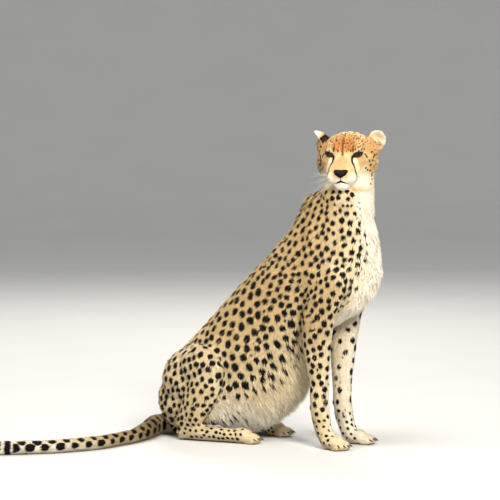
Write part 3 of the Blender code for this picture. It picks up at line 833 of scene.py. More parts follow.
@dataclass
class Skin:
    """One skin over the whole animal, inside the solids by the coat's depth."""

    stance: Stance
    voxel: float = 0.003
    swell: float = 0.0004  # closes the thin cuts between the solids
    smoothing: int = 22  # rounds
    spared: float = 0.78  # how much of the smoothing the head and the feet are spared
    lightened: float = 0.27  # the share of the broad parts' triangles that stays
    blend: int = 8  # rounds over which one part's depth of coat passes into the next one's
    lowest: float = 0.0006  # the skin's height over the floor
    opening: Opening = field(default_factory=Opening)
    surface: Surface = field(init=False)
    label: Array = field(init=False)  # the node that each corner belongs to
    mould: BVHTree = field(init=False)  # the head's surface before its folds, in its own frame
    rest: Array = field(init=False)  # where each corner lay before the folds
    fold: Array = field(init=False)  # how deep each corner lies in one of the body's folds or in the flank's hollow, which sets the painted shade there

    def solids(self) -> tuple[Array, Array, Array]:
        """The nodes of flesh, eyes and nose as one welded mesh.

        Returns:
            Corners, triangles, and the number in FLESH of each triangle's node, or -1.
        """
        corners, faces, owners, count = [], [], [], 0
        for name in FLESH + ["eye_left", "eye_right", "nose"]:
            points, tris = arrays_of(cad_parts[name])
            _, first, back = np.unique(np.round(points, 6), axis=0, return_index=True, return_inverse=True)
            tris = back.reshape(-1)[tris]
            body = Surface(points[first], tris)
            corners.append(body.points + self.swell * body.normals())
            faces.append(tris + count)
            owners.append(np.full(len(tris), FLESH.index(name) if name in FLESH else -1))
            count += len(first)
        return np.concatenate(corners), np.concatenate(faces), np.concatenate(owners)

    def build(self) -> None:
        """Melts the solids into one surface, sinks it under the coat and shapes the face."""
        corners, faces, owners = self.solids()
        block = shaped("block", corners, faces)
        melt = block.modifiers.new("melt", "REMESH")
        melt.mode, melt.voxel_size = "VOXEL", self.voxel
        surface = taken(block).largest()
        tree = BVHTree.FromPolygons(corners[:, :3].tolist(), faces[owners >= 0].tolist())
        owned = owners[owners >= 0]

        fine = self._fineness(surface, tree, owned)
        surface.relax(self.smoothing, 1.0 - self.spared * fine)
        block = shaped("block", surface.points, surface.faces)
        group = block.vertex_groups.new(name="broad")
        group.add(np.nonzero(fine < 0.5)[0].tolist(), 1.0, "REPLACE")
        fewer = block.modifiers.new("fewer", "DECIMATE")
        fewer.vertex_group, fewer.ratio = "broad", self.lightened
        surface = self._refined(taken(block))

        self.label = self._labels(surface, tree, owned)
        self._settle_ears(surface)
        self._slim_back(surface)
        depth = np.array([pelt_of(node).depth for node in FLESH])[self.label]
        surface.sink(surface.spread(depth, self.blend))
        surface.points[:, 2] = np.maximum(surface.points[:, 2], self.lowest)
        self.surface, self.rest = surface, surface.points
        self._fold_body()
        self._shape_muzzle()
        self._shape_lids()
        LOG.info("skin: %d triangles", len(surface.faces))

    def _labels(self, surface: Surface, tree: BVHTree, owned: Array) -> Array:
        """The number in FLESH of the node nearest to each corner."""
        return np.array([owned[tree.find_nearest(p)[2]] for p in surface.points.tolist()])

    def _fineness(self, surface: Surface, tree: BVHTree, owned: Array) -> Array:
        """1 on the head and the feet, 0 on the broad parts, blurred between them."""
        small = np.array([float(n.startswith(("head", "ear", "forefoot", "hindfoot"))) for n in FLESH])
        return surface.spread(small[self._labels(surface, tree, owned)], 5)

    def _refined(self, surface: Surface) -> Surface:
        """The surface with its faces quartered round the eyes, the nose and the mouth."""
        own = self.stance.in_head(surface.points)
        low, high = np.array(FACE_BOX).T
        face = ((own > low) & (own < high)).all(axis=1)
        body = bmesh.new()
        block = shaped("block", surface.points, surface.faces)
        body.from_mesh(block.data)
        edges = [e for e in body.edges if face[e.verts[0].index] and face[e.verts[1].index]]
        bmesh.ops.subdivide_edges(body, edges=edges, cuts=1, use_grid_fill=True)
        bmesh.ops.triangulate(body, faces=body.faces)
        body.to_mesh(block.data)
        body.free()
        finer = taken(block)
        finer.relax(4, ease(self.stance.in_head(finer.points)[:, 0], 0.035, 0.05) * 0.9)
        return finer

    def _settle_ears(self, surface: Surface) -> None:
        """Shortens each ear a little, sets it lower and fills out the fur below its outer edge."""
        for name, side in SIDES.items():
            mine = surface.spread((self.label == FLESH.index(f"ear_{name}")).astype(float), 6)
            ear = self.stance.ear(side)
            high = np.maximum((surface.points - ear[:3, 3]) @ ear[:3, 2], 0.0)
            surface.points = surface.points - (mine * high * EAR_SHORTER)[:, None] * ear[:3, 2]
            surface.points[:, 2] -= EAR_LOWER * mine
            _, y, z = local(ear, surface.points).T
            inside = ease(surface.normals() @ ear[:3, 0], -0.1, 0.4)
            bowl = 1.0 - ease(np.hypot(y / 0.029, (z - 0.028) / 0.034), 0.4, 0.95)
            surface.points = surface.points + (EAR_HOLLOW[name] * mine * inside * bowl)[:, None] * ear[:3, 0]
            own = self.stance.in_head(surface.points)
            x, y, z = own[:, 0], own[:, 1] * side, own[:, 2]
            fill = np.exp(-((x / 0.026) ** 2) - ((z - 0.013) / 0.016) ** 2) * ease(y, 0.055, 0.08)
            own[:, 1] += side * EAR_FILL[name] * fill
            surface.points = self.stance.from_head(own)

    def _slim_back(self, surface: Surface) -> None:
        """Draws the upper back in below the nape, so that the neck rises from it without a shelf."""
        station, angle, _ = self.stance.trunk(surface.points)
        trunk = [float(node.startswith(("neck", "chest", "abdomen"))) for node in FLESH]
        high = ease(station, 5.0, 7.5) * (1.0 - ease(station, 9.4, 10.6))
        back = np.array(trunk)[self.label] * high * ease(angle, 75.0, 150.0)
        surface.sink(BACK_DRAWN_IN * surface.spread(back, self.blend))

    def _fold_body(self) -> None:
        """Sinks the folds behind the shoulder blade and in front of the thigh, and keeps their depth, with
        the flank's hollow added, for the painted shade in them.
        """
        body = self.surface.points - self.stance.offset
        sink = np.zeros(len(body))
        for stroke in BODY_FOLDS:
            sink = stroke.deepened(sink, body)
        self.surface.sink(sink)
        # painted shade: the depth of the folds and of the flank's hollow darkens the coat's colour
        self.fold = FLANK_SHADE.deepened(sink, body)

    def _shape_muzzle(self) -> None:
        """Swells the whisker pads, and sinks the mouth's line and the groove under the nose."""
        surface = self.surface
        own = self.stance.in_head(surface.points)
        self.mould = BVHTree.FromPolygons(own.tolist(), surface.faces.tolist())
        depth = np.zeros(len(own))
        for side in SIDES.values():
            for (x, y, z), squash, height, reach in SWELLINGS:
                gap = np.linalg.norm((own - (x, side * y, z)) / (1.0, 1.0, squash), axis=1)
                depth -= height * bell(gap, reach)
        for stroke in FACE_FOLDS:
            depth = stroke.deepened(depth, own)
        ahead = np.subtract(*self.stance.from_head(((1.0, 0.0, 0.0), (0.0, 0.0, 0.0))))
        hollow = (1.0 - ease(NosePad.share(own), 0.7, 0.93)) * (own[:, 0] > MUZZLE_FRONT)
        surface.sink(depth)
        surface.points = surface.points - NOSE_HOLLOW * hollow[:, None] * ahead

    def _shape_lids(self) -> None:
        """Wraps the skin round each eyeball as lids, and sinks it behind the ball in the gap."""
        surface = self.surface
        for side in SIDES.values():
            eye = self.stance.eye(side)
            own = local(eye, surface.points)
            reach = np.linalg.norm(own, axis=1)
            near = (own[:, 0] > 0.001) & (reach < 0.045)
            gap = self.opening.outside(side, own[:, 1:])
            lid = EYE_RADIUS + LID_THICK + 0.1 * np.maximum(gap, 0.0)
            wanted = np.where(gap < LID_EDGE, EYE_RADIUS - LID_TUCK, lid)
            share = np.where(gap < LID_EDGE, 1.0, 1.0 - ease(gap, 0.0015, 0.0095))
            new = reach + share * (wanted - reach)
            scale = np.where(near, new / np.maximum(reach, 1e-9), 1.0)
            surface.points = np.where(near[:, None], placed(eye, own * scale[:, None]), surface.points)

    def bare(self) -> Array:
        """1 where no hair grows: the gaps between the lids, the nose pad and the lips' edge."""
        points = self.surface.points
        own, rest = self.stance.in_head(points), self.stance.in_head(self.rest)
        bare = (own[:, 0] > MUZZLE_FRONT) * (1.0 - ease(NosePad.share(own), 0.96, 1.03))
        mouth = FACE_FOLDS[0]
        for side in SIDES.values():
            seen = local(self.stance.eye(side), points)
            near = (seen[:, 0] > -0.002) & (np.linalg.norm(seen, axis=1) < 0.03)
            lids = 1.0 - ease(self.opening.outside(side, seen[:, 1:]), 0.0012, 0.0022)
            lips = 0.9 * (1.0 - ease(mouth.gap(rest, side), 0.0012, 0.0022))
            bare = np.maximum(bare, np.maximum(near * lids, lips))
        return bare


# ---------- Markings ----------


@dataclass(frozen=True)
class Stroke:
    """A line on the left side or on both sides, drawn or sunk."""

    course: tuple[tuple[float, float, float], ...]
    half_width: float
    end_width: float = 0.0  # at the far end, or the same if 0
    sink: float = 0.0
    mirrored: bool = True

    def both(self) -> tuple[float, ...]:
        """The sides on which the line is."""
        return tuple(SIDES.values()) if self.mirrored else (1.0,)

    def gap(self, own: Array, side: float) -> Array:
        """The distance from the line, along the surface or off it."""
        return self._beside(own, side)[0]

    def edge(self, own: Array, side: float) -> Array:
        """The distance outside the line's own width, negative on it."""
        gap, along, total = self._beside(own, side)
        last = self.end_width or self.half_width
        return gap - (self.half_width + (last - self.half_width) * along / total)

    def deepened(self, depth: Array, own: Array) -> Array:
        """The depths with the line's own groove added."""
        for side in self.both():
            depth = depth + self.sink * bell(self.gap(own, side), self.half_width)
        return depth

    def _beside(self, own: Array, side: float) -> tuple[Array, Array, float]:
        """The distance from the line, how far along it, and its whole length."""
        course = np.array(self.course) * (1.0, side, 1.0)
        if len(course) == 1:
            return np.linalg.norm(own - course[0], axis=1), np.zeros(len(own)), 1.0
        along, nearest, _, _ = unrolled(course, own)
        total = np.linalg.norm(np.diff(course, axis=0), axis=1).sum()
        return np.linalg.norm(own - nearest, axis=1), along, total


# all in the head's own frame, on the left side unless both are meant
MOUTH = (
    (0.1262, 0.0, -0.0606), (0.1238, 0.0075, -0.0645), (0.12, 0.016, -0.069), (0.1145, 0.0262, -0.0728),
)
MOUTH_END = (*MOUTH, (0.101, 0.035, -0.079), (0.086, 0.039, -0.083))
GROOVE = ((0.1325, 0.0, -0.049), (0.1262, 0.0, -0.0606))  # from the nose to the lips
CHEEK_FOLD = ((0.106, 0.043, -0.038), (0.104, 0.043, -0.056), (0.095, 0.041, -0.069))
FACE_FOLDS = (
    Stroke(MOUTH_END, 0.002, sink=0.0034),
    Stroke(GROOVE, 0.0017, sink=0.0026, mirrored=False),
    Stroke(((0.077, 0.0262, 0.003), (0.09, 0.03, -0.0125)), 0.0034, sink=0.0016),
    Stroke(CHEEK_FOLD, 0.0045, sink=0.0016),
)
# behind the shoulder blade and in front of the thigh, from the ground between the forefeet; their depth also
# sets the painted shade in these folds
SHOULDER_FOLD = (
    (-0.052, 0.08, 0.695), (-0.04, 0.102, 0.637), (-0.036, 0.106, 0.577),
    (-0.035, 0.102, 0.516), (-0.039, 0.093, 0.454), (-0.05, 0.08, 0.4),
)
THIGH_FOLD = (
    (-0.445, 0.08, 0.3), (-0.362, 0.12, 0.302), (-0.32, 0.123, 0.266), (-0.308, 0.112, 0.224),
    (-0.308, 0.103, 0.177), (-0.315, 0.098, 0.129), (-0.335, 0.086, 0.086),
)
BODY_FOLDS = (Stroke(SHOULDER_FOLD, 0.017, sink=0.0055), Stroke(THIGH_FOLD, 0.01, sink=0.0085))
# painted shade on the flank's hollow in front of the thigh: it darkens the coat and does not sink the skin
FLANK_HOLLOW = (
    (-0.29, 0.118, 0.28), (-0.276, 0.11, 0.224), (-0.276, 0.104, 0.177), (-0.29, 0.098, 0.129),
)
FLANK_SHADE = Stroke(FLANK_HOLLOW, 0.032, sink=0.0034)
TEAR_LINE = (
    (0.069, 0.027, 0.008), (0.079, 0.0282, 0.001), (0.0867, 0.03, -0.0085), (0.0965, 0.0398, -0.0295),
    (0.1015, 0.0445, -0.0435), (0.101, 0.044, -0.058), (0.09, 0.0415, -0.07),
)
# single dots on the cheek and the jaw: place and half-width
CHEEK_DOTS = (
    ((0.0408, 0.0777, -0.0271), 0.0042),
    ((0.0554, 0.0656, -0.0336), 0.0036),
    ((0.05, 0.07, -0.0406), 0.0034),
    ((0.0412, 0.0762, -0.0443), 0.0038),
    ((0.029, 0.079, -0.056), 0.004),
    ((0.021, 0.0776, -0.0642), 0.004),
    ((0.0198, 0.0771, -0.0763), 0.004),
    ((0.0309, 0.0756, -0.0872), 0.0038),
    ((0.03, 0.081, -0.016), 0.004),
    ((0.026, 0.082, -0.036), 0.004),
    ((0.018, 0.084, -0.002), 0.0042),
    ((0.012, 0.085, -0.024), 0.0044),
    ((0.006, 0.083, -0.045), 0.0044),
)
FACE_LINES = (
    Stroke(TEAR_LINE, 0.0033, 0.0021),
    # lips
    Stroke(MOUTH[:3], 0.0038, 0.0028),
    Stroke(MOUTH[2:], 0.0028, 0.0018),
    Stroke(MOUTH_END[3:], 0.0015, 0.0008),
    Stroke(GROOVE, 0.0015, mirrored=False),
    # streaks up from the inner corners of the eyes
    Stroke(((0.069, 0.03, 0.02), (0.064, 0.0295, 0.0272), (0.05, 0.0285, 0.0362)), 0.0024, 0.0012),
    Stroke(((0.04, 0.027, 0.0412), (0.033, 0.0255, 0.044)), 0.002, 0.0012),
    # short dashes on the temple
    Stroke(((0.057, 0.06, 0.01), (0.05, 0.065, 0.004)), 0.0026, 0.002),
    Stroke(((0.0451, 0.0627, 0.0064), (0.0452, 0.0683, -0.0031)), 0.0032),
    Stroke(((0.043, 0.0735, -0.012), (0.0423, 0.0752, -0.0165)), 0.0034),
    *(Stroke((place,), half_width) for place, half_width in CHEEK_DOTS),
)
# a dark stripe on the right cheek only
STRIPE_COURSE = ((0.03, -0.0775, -0.001), (0.05, -0.0715, -0.015), (0.0475, -0.074, -0.03))
CHEEK_STRIPE = Stroke(STRIPE_COURSE, 0.003, 0.0024, mirrored=False)


@dataclass(frozen=True)
class Patch:
    """A soft patch of colour on the head, in its own frame."""

    middle: tuple[float, float, float]
    radius: float
    amount: float
    mirrored: bool = True

    def cover(self, own: Array) -> Array:
        """How strongly the patch shows at each place."""
        total = np.zeros(len(own))
        for side in SIDES.values() if self.mirrored else (1.0,):
            gap = np.linalg.norm(own - np.array(self.middle) * (1.0, side, 1.0), axis=1)
            total = np.maximum(total, self.amount * (1.0 - ease(gap, 0.55 * self.radius, 1.35 * self.radius)))
        return total


def covered(patches: tuple[Patch, ...], own: Array) -> Array:
    """How strongly the patches show at each place: where some overlap, as the strongest does."""
    return np.max([patch.cover(own) for patch in patches], axis=0)


PALE_PATCHES = (
    Patch((0.118, 0.0, -0.072), 0.03, 0.95, False),  # lips and chin
    Patch((0.113, 0.03, -0.056), 0.02, 0.9),  # whisker pads
    Patch((0.1, 0.0, -0.088), 0.028, 1.0, False),  # chin
    Patch((0.08, 0.0385, -0.01), 0.009, 0.75),  # under the eye
    Patch((0.09, 0.043, -0.029), 0.013, 0.6),  # beside the tear line
    Patch((0.072, 0.048, -0.064), 0.028, 0.9),  # lower cheek
    Patch((0.05, 0.062, -0.074), 0.028, 0.85),  # jaw
    Patch((0.03, 0.074, -0.082), 0.026, 0.75),  # behind the jaw
    Patch((0.062, 0.06, -0.038), 0.018, 0.4),  # cheek
    Patch((0.086, 0.016, 0.004), 0.012, 0.15),  # between the eye and the bridge
)
WARM_PATCHES = (
    Patch((0.052, 0.012, 0.039), 0.03, 1.12),  # forehead
    Patch((0.02, 0.024, 0.052), 0.03, 0.62),  # crown
    Patch((0.096, 0.0, -0.004), 0.02, 0.44, False),  # bridge of the nose
    Patch((0.113, 0.0, -0.019), 0.016, 0.42, False),
    Patch((0.066, 0.027, 0.027), 0.009, 1.25),  # inner brow
    Patch((0.069, 0.056, -0.011), 0.019, 0.46),  # cheek below the eye
    Patch((0.012, 0.068, 0.027), 0.032, 0.6),  # temple
    Patch((0.042, 0.044, 0.036), 0.026, 0.42),  # above the eye
    Patch((0.004, 0.077, 0.005), 0.026, 0.5),  # below the ear
    Patch((0.03, 0.079, -0.025), 0.026, 0.35),  # side of the cheek
)
# the dark streak over the middle of the forehead, and the fine lines beside it, this far to the left
STREAK_COURSE = (
    (0.0045, -0.006, 0.056), (0.0396, -0.005, 0.0426), (0.0634, -0.0025, 0.026), (0.082, 0.0, 0.01),
)
FOREHEAD_STREAK = Stroke(STREAK_COURSE, 0.0026, mirrored=False)
FOREHEAD_LINES = (-0.0165, -0.008, 0.008, 0.0165)

TRUNK_PARTS = ("neck", "chest", "abdomen", "rump")
# the white underside's edge: the place along the trunk, and the angle from the middle line below
WHITE_LIMIT = (
    (0.0, 2.2, 2.6, 3.0, 3.5, 4.2, 5.0, 6.0, 7.0, 10.0, 11.0, 12.0),
    (70.0, 66.0, 54.0, 42.0, 32.0, 24.0, 22.0, 20.0, 23.0, 30.0, 42.0, 58.0),
)
# how pale a part is all over, how much more on its inner or under side, and on its front or at its end
LIMB_PALE = {
    "upper_arm": (0.12, 0.55, 0.25),
    "forearm": (0.3, 0.4, 0.25),
    "forefoot": (0.38, 0.45, 0.2),
    "hindfoot": (0.45, 0.0, 0.0),
    "thigh": (0.34, 0.4, 0.2),
    "shank": (0.25, 0.6, 0.35),
    "tail": (0.15, 0.6, 0.62),
}

FOLD_SHADE = 150.0  # painted shade: how much darker the coat is in the body's folds, for each metre of their depth
NO_MARK = 1.0  # further from a mark than any place is
CANDIDATES = 48000  # places that a spot may take
LARGE_ROOM = 0.86  # the share of the wanted distance that a large spot needs
SMALL_ROOM = 0.14  # and a small one, beyond its own reach
SMALL_SHARE = 0.03  # of the places where a small spot may be
# the level bars above each elbow: place forward and up, from the ground between the forefeet
ELBOW_BARS = ((0.002, 0.37), (0.008, 0.391), (-0.008, 0.411))
BAR_HALVES = (0.013, 0.0043)  # half a bar's length and width
BAR_ROOM = 0.0165  # round a bar's middle, without other spots
# the rows of spots along the tail: angle from the top, shift along it in pitches, size
TAIL_ROWS = ((34.0, 0.0, 0.95), (-34.0, 0.5, 0.95), (92.0, 0.5, 1.08), (-92.0, 0.0, 1.08), (176.0, 0.25, 0.6))
TAIL_PITCH = 0.046
TAIL_SPOT = 0.0118
TAIL_RADIUS = 0.022
TAIL_SPOTS_END = 0.858  # as a share of the tail's length
RING_PLACES = (0.874, 0.916, 0.956)
RING_HALF = 0.0102


@dataclass
class Markings:
    """Spots, rings, lines and the coat's ground colours over the skin."""

    skin: Skin
    stance: Stance
    lie: Array
    normal: Array
    seed: int = SEED

    def paint(self) -> None:
        """Works out the zones and plants the spots."""
        surface = self.skin.surface
        self.own = self.stance.in_head(self.skin.rest)
        self.station, self.angle, _ = self.stance.trunk(surface.points)
        names = np.array(FLESH)[self.skin.label]
        self.part = {start: np.char.startswith(names, start).astype(float) for start in PELTS}
        self.trunk = sum(self.part[start] for start in TRUNK_PARTS)
        self.body = surface.points - self.stance.offset
        self.outward = self.normal[:, 1] * np.sign(self.body[:, 1])
        self.pale, self.warm = self._ground()
        # painted shade on the nape, the ribs, the right cheek, the shoulder and the tail's root
        self.shade = self._painted_part_shade()
        self._plant()

    def _ground(self) -> tuple[Array, Array]:
        """How pale and how warm the coat is at each corner of the skin."""
        surface, part, throat = self.skin.surface, self.part, self.throat()
        limit = self.white_limit()
        low = 0.64 * (1.0 - ease(self.angle, limit + 8.0, limit + 88.0))
        low += 0.36 * (1.0 - ease(self.angle, limit - 12.0, limit + 14.0))
        low *= ease(self.station, 0.5, 2.0)
        pale = self.trunk * low * (1.0 - 0.2 * part["abdomen"]) + part["rump"] * 0.3 * (1.0 - low)
        pale += self._pale_limbs()
        below = np.maximum(low, self.bib())
        pale += part["head"] * (covered(PALE_PATCHES, self.own) * (1.0 - throat) + below * throat)
        warm = self._warm_face() * part["head"] * (1.0 - throat)
        for side in SIDES.values():
            mine = part["ear"] * (self.own[:, 1] * side > 0)
            ear_pale, ear_warm = self._ear_ground(side)
            pale += mine * ear_pale
            warm += mine * ear_warm
        fine = surface.spread(part["head"] + part["ear"], 3)
        broad = surface.spread(pale, 16)
        return fine * surface.spread(pale, 3) + (1.0 - fine) * broad, surface.spread(warm, 1)

    def _pale_limbs(self) -> Array:
        """How pale the legs, the feet and the tail are."""
        ahead = self.normal[:, 0]
        fore = (1.0 - ease(self.outward, -0.3, 0.4), ease(ahead, 0.4, 0.95))
        front = ease(ahead, 0.55, 0.95) * (1.0 - ease(self.body[:, 2], 0.24, 0.3))
        hind = (1.0 - ease(self.outward, -0.85, -0.3), front)
        along = self.on_tail(self.skin.surface.points)[0]
        tail = (1.0 - ease(self.normal[:, 2], -0.6, 0.15), ease(along, 0.42, 0.74))
        pale = np.zeros(len(self.body))
        for start, (whole, inner, end) in LIMB_PALE.items():
            a, b = {"thigh": hind, "shank": hind, "tail": tail}.get(start, fore)
            pale += self.part[start] * np.clip(whole + inner * a + end * b, 0, 1)
        return pale

    def _warm_face(self) -> Array:
        """How warm the face is: soft patches, and fine lines and a dark streak over the forehead."""
        x, y, z = self.own.T
        warm = covered(WARM_PATCHES, self.own)
        reach = ease(x, 0.018, 0.035) * (1.0 - ease(x, 0.058, 0.07))
        for place in FOREHEAD_LINES:
            line = bell(y - place - 0.002 * np.sin(170.0 * x), 0.0022)
            warm = np.maximum(warm, 1.35 * line * reach * (z > 0.0))
        streak = 1.0 - ease(FOREHEAD_STREAK.gap(self.own, 1.0), 0.0012, 0.0052)
        return np.maximum(warm, 2.0 * streak)

    def _ear_ground(self, side: float) -> tuple[Array, Array]:
        """How pale and how warm an ear is: its bowl has a pale rim, and its base inside is warm."""
        place, facing = self._on_ear(self.skin.surface.points, self.normal, side)
        _, y, z = place.T
        inside = ease(facing, -0.1, 0.3)
        rim = ease(np.hypot(y / 0.029, np.maximum(z - 0.026, -0.006) / 0.036), 0.72, 0.95)
        bowl = inside * np.clip(0.3 + 0.5 * ease(z, 0.026, 0.05) + 0.5 * rim, 0, 1)
        pale = np.clip(bowl + (1 - inside) * ease(z, 0.036, 0.044), 0, 1)
        return pale, inside * (1.0 - rim) * (0.1 + 1.1 * (1.0 - ease(z, 0.01, 0.036)))

    def _painted_part_shade(self) -> Array:
        """Painted shade: how much darker the nape, the ribs, the right cheek, the shoulder and the tail's
        first half are, standing in for the shade that falls on them.
        """
        part, (_, left, up) = self.part, self.own.T
        neck = ease(self.angle, 40.0, 80.0) * (0.75 * part["neck"] + 0.5 * part["chest"])
        ribs = 0.45 * part["abdomen"] * ease(self.station, 3.6, 5.0)
        cheek = 1.3 * part["head"] * ease(-left, 0.036, 0.07) * (1.0 - ease(up, -0.015, 0.01))
        tail = 1.7 * part["tail"] * (1.0 - ease(self.on_tail(self.skin.surface.points)[0], 0.25, 0.64))
        return self.skin.surface.spread(neck + ribs + cheek + 0.5 * part["upper_arm"] + tail, 16)

    def white_limit(self) -> Array:
        """The angle from the underside's middle line at which the white ends, at each corner."""
        return np.interp(self.station, *WHITE_LIMIT)

    def bib(self) -> Array:
        """1 on the white band of the throat, which lies to the left of the turned head."""
        ahead, left, _ = self.own.T
        return ease(left, 0.022, 0.036) * (1.0 - ease(left, 0.07, 0.084)) * (ahead > 0.0)

    def throat(self) -> Array:
        """1 on the part of the head's node that belongs to the throat, below the chin."""
        ahead, _, up = self.own.T
        low = 1.0 - ease(up - 0.25 * np.clip(ahead - 0.09, -0.03, 0.03), -0.102, -0.094)
        return low * self.part["head"]

    def on_tail(self, points: Array) -> tuple[Array, Array, Array]:
        """The share of the tail's length, the angle round it from the top, and its direction."""
        course = self.stance.tail_course
        along, nearest, heading, _ = unrolled(course, points)
        out = points - nearest
        side = np.cross(heading, (0.0, 0.0, 1.0))
        return along / length_of(course), np.degrees(np.arctan2(dot(out, side), out[:, 2])), heading

    def _on_ear(self, points: Array, normal: Array, side: float) -> tuple[Array, Array]:
        """Places in an ear's own frame, and how far each one's normal faces its opening."""
        ear = self.stance.ear(side)
        return local(ear, points), normal @ ear[:3, 0]

    def _room(self) -> tuple[Array, Array]:
        """A spot's wanted radius, or 0 where none may be, and its distance from the next one."""
        surface, part, (x, y, z) = self.skin.surface, self.part, self.own.T
        pelts = np.array([(pelt_of(node).spot, pelt_of(node).gap) for node in FLESH])[self.skin.label]
        spread = surface.spread(pelts, 6)
        radius, gap = np.where(pelts[:, 0] > 0, spread[:, 0], 0.0), np.maximum(spread[:, 1], 0.006)
        head, throat = part["head"] > 0, self.throat()
        # on the trunk they begin at the white's edge and grow away from it
        trunk = self.trunk + throat > 0
        beyond = self.angle - self.white_limit()
        keep = np.where(trunk, 0.42 + 0.58 * ease(beyond, 0.0, 24.0), 1.0)
        # on the head they keep to the crown, the sides and the back, and clear of the ears' roots
        crown = (z > 0.02) & (x < 0.075) | (np.abs(y) > 0.055) & (x < 0.025) & (z > -0.055) | (x < -0.012)
        beside = np.stack([x, np.abs(y), z], axis=1)
        crown &= np.linalg.norm(beside - (0.018, 0.066, 0.02), axis=1) > 0.017
        back = 1.0 + 0.9 * ease(-x, -0.02, 0.06)
        keep *= np.where(head, np.maximum(crown * back, 2.7 * (throat > 0.5)), 1.0)
        gap = np.where(head, gap * np.where(throat > 0.5, 1.9, back), gap)
        # inside the forelegs they are fewer and smaller
        inner = (part["upper_arm"] + part["forearm"]) * (1.0 - ease(self.outward, -0.45, 0.15))
        keep *= 1.0 - 0.18 * inner
        # and there are none on the toes, inside the hind legs, on the white, nor at the ground
        ahead = self.body[:, 0]
        bare = (part["forefoot"] > 0) & (ahead > 0.06) | (part["hindfoot"] > 0) & (ahead > -0.245)
        bare |= (part["thigh"] + part["shank"] > 0) & (self.outward < -0.45)
        bare |= trunk & (beyond < 3.0) | (throat > 0.2) & (self.bib() > 0.4)
        bare |= surface.points[:, 2] < 0.012
        return radius * np.where(bare, 0.0, keep), gap * (1.0 + 0.6 * inner)

    @staticmethod
    def _picked(place: Array, apart: Array, size: Array, rng: np.random.Generator) -> tuple[Array, int]:
        """Chooses the spots one by one, each where the most room is, and small ones between them.

        Args:
            place: The places a spot may take.
            apart: How far it should be from the next one.
            size: Its radius.
            rng: Where chance comes from.

        Returns:
            The numbers of the chosen places, and how many of them have large spots.
        """
        chosen: list[int] = []

        def fill(room: Array, least: float, reach: Array | float) -> Array:
            """Takes places while one has more room than the least, and gives the room that is left."""
            while room.max() > least:
                chosen.append(int(room.argmax()))
                away = np.linalg.norm(place - place[chosen[-1]], axis=1)
                room = np.minimum(room, away / apart - reach)
            return room

        room = fill(np.full(len(place), 10.0), LARGE_ROOM, 0.0)
        large = len(chosen)
        reach = 1.35 * size / apart
        fill(np.where(rng.random(len(place)) < SMALL_SHARE, room, 0.0) - reach, SMALL_ROOM, reach)
        return np.array(chosen), large

    def _plant(self) -> None:
        """Sets the spots' places, sizes and turns, the wanted distance apart."""
        surface = self.skin.surface
        radius, gap = self._room()
        rng = np.random.default_rng(self.seed)
        wanted = radius[surface.faces].min(axis=1) > 0
        weight = np.where(wanted, surface.areas() / gap[surface.faces].mean(axis=1) ** 2, 0.0)
        scatter = surface.scattered(CANDIDATES, weight, rng)
        place, apart, size = (scatter.at(values) for values in (surface.points, gap, radius))
        pick, large = self._picked(place, apart, size, rng)
        place, size = place[pick], size[pick]
        lie, up = unit(scatter.at(self.lie))[pick], unit(scatter.at(self.normal))[pick]
        small = np.arange(len(pick)) >= large
        uneven = np.where(size < 0.004, 0.42, 0.17)
        size = size * rng.uniform(1.0 - uneven, 1.0 + uneven) * np.where(small, 0.36, 1.0)
        turn = rng.normal(0.0, 0.3, len(pick))[:, None]
        long = unit(lie * np.cos(turn) + np.cross(up, lie) * np.sin(turn))
        stretch = np.sqrt(rng.uniform(1.0, np.where(uneven > 0.3, 2.4, 1.38)))
        size = self._apart(place, size * stretch, large) / stretch
        self.middles, self.long, self.side = place, long, np.cross(up, long)
        self.half_long, self.half_wide = size * stretch, size / stretch
        self._add_bars()
        self.tree = KDTree(len(self.middles))
        for k, middle in enumerate(self.middles.tolist()):
            self.tree.insert(middle, k)
        self.tree.balance()
        LOG.info("markings: %d spots, %d of them small", len(pick), int(small.sum()))

    def _add_bars(self) -> None:
        """Sets the short level bars above each elbow in the place of the spots there."""
        wanted = [(x, side * 0.1, z) for side in SIDES.values() for x, z in ELBOW_BARS]
        at = [int(np.linalg.norm(self.body - bar, axis=1).argmin()) for bar in wanted]
        place, up = self.skin.surface.points[at], self.normal[at]
        level = np.tile((0.94, 0.0, 0.34), (len(at), 1))
        long = unit(level - dot(level, up)[:, None] * up)
        away = np.linalg.norm(self.middles[:, None, :] - place[None], axis=2).min(axis=1)
        half_long, half_wide = (np.full(len(at), half) for half in BAR_HALVES)
        bars = {"middles": place, "long": long, "side": np.cross(up, long)}
        bars |= {"half_long": half_long, "half_wide": half_wide}
        for name, values in bars.items():
            setattr(self, name, np.concatenate([getattr(self, name)[away > BAR_ROOM], values]))

    @staticmethod
    def _apart(places: Array, reach: Array, large: int) -> Array:
        """The spots' reaches, cut back where two would touch.

        Args:
            places: The spots' middles, the large ones first.
            reach: How far each goes from its middle.
            large: How many large ones there are.

        Returns:
            The new reaches.
        """
        away = np.linalg.norm(places[:, None, :] - places[None, :large, :], axis=2)
        away[np.arange(large), np.arange(large)] = np.inf
        nearest = away.argmin(axis=1)
        gap = away.min(axis=1)
        new = reach.copy()
        new[:large] = np.minimum(reach[:large], 0.45 * gap[:large])
        left = gap[large:] - new[nearest[large:]]
        new[large:] = np.clip(0.62 * left, 0.0004, reach[large:])
        return new

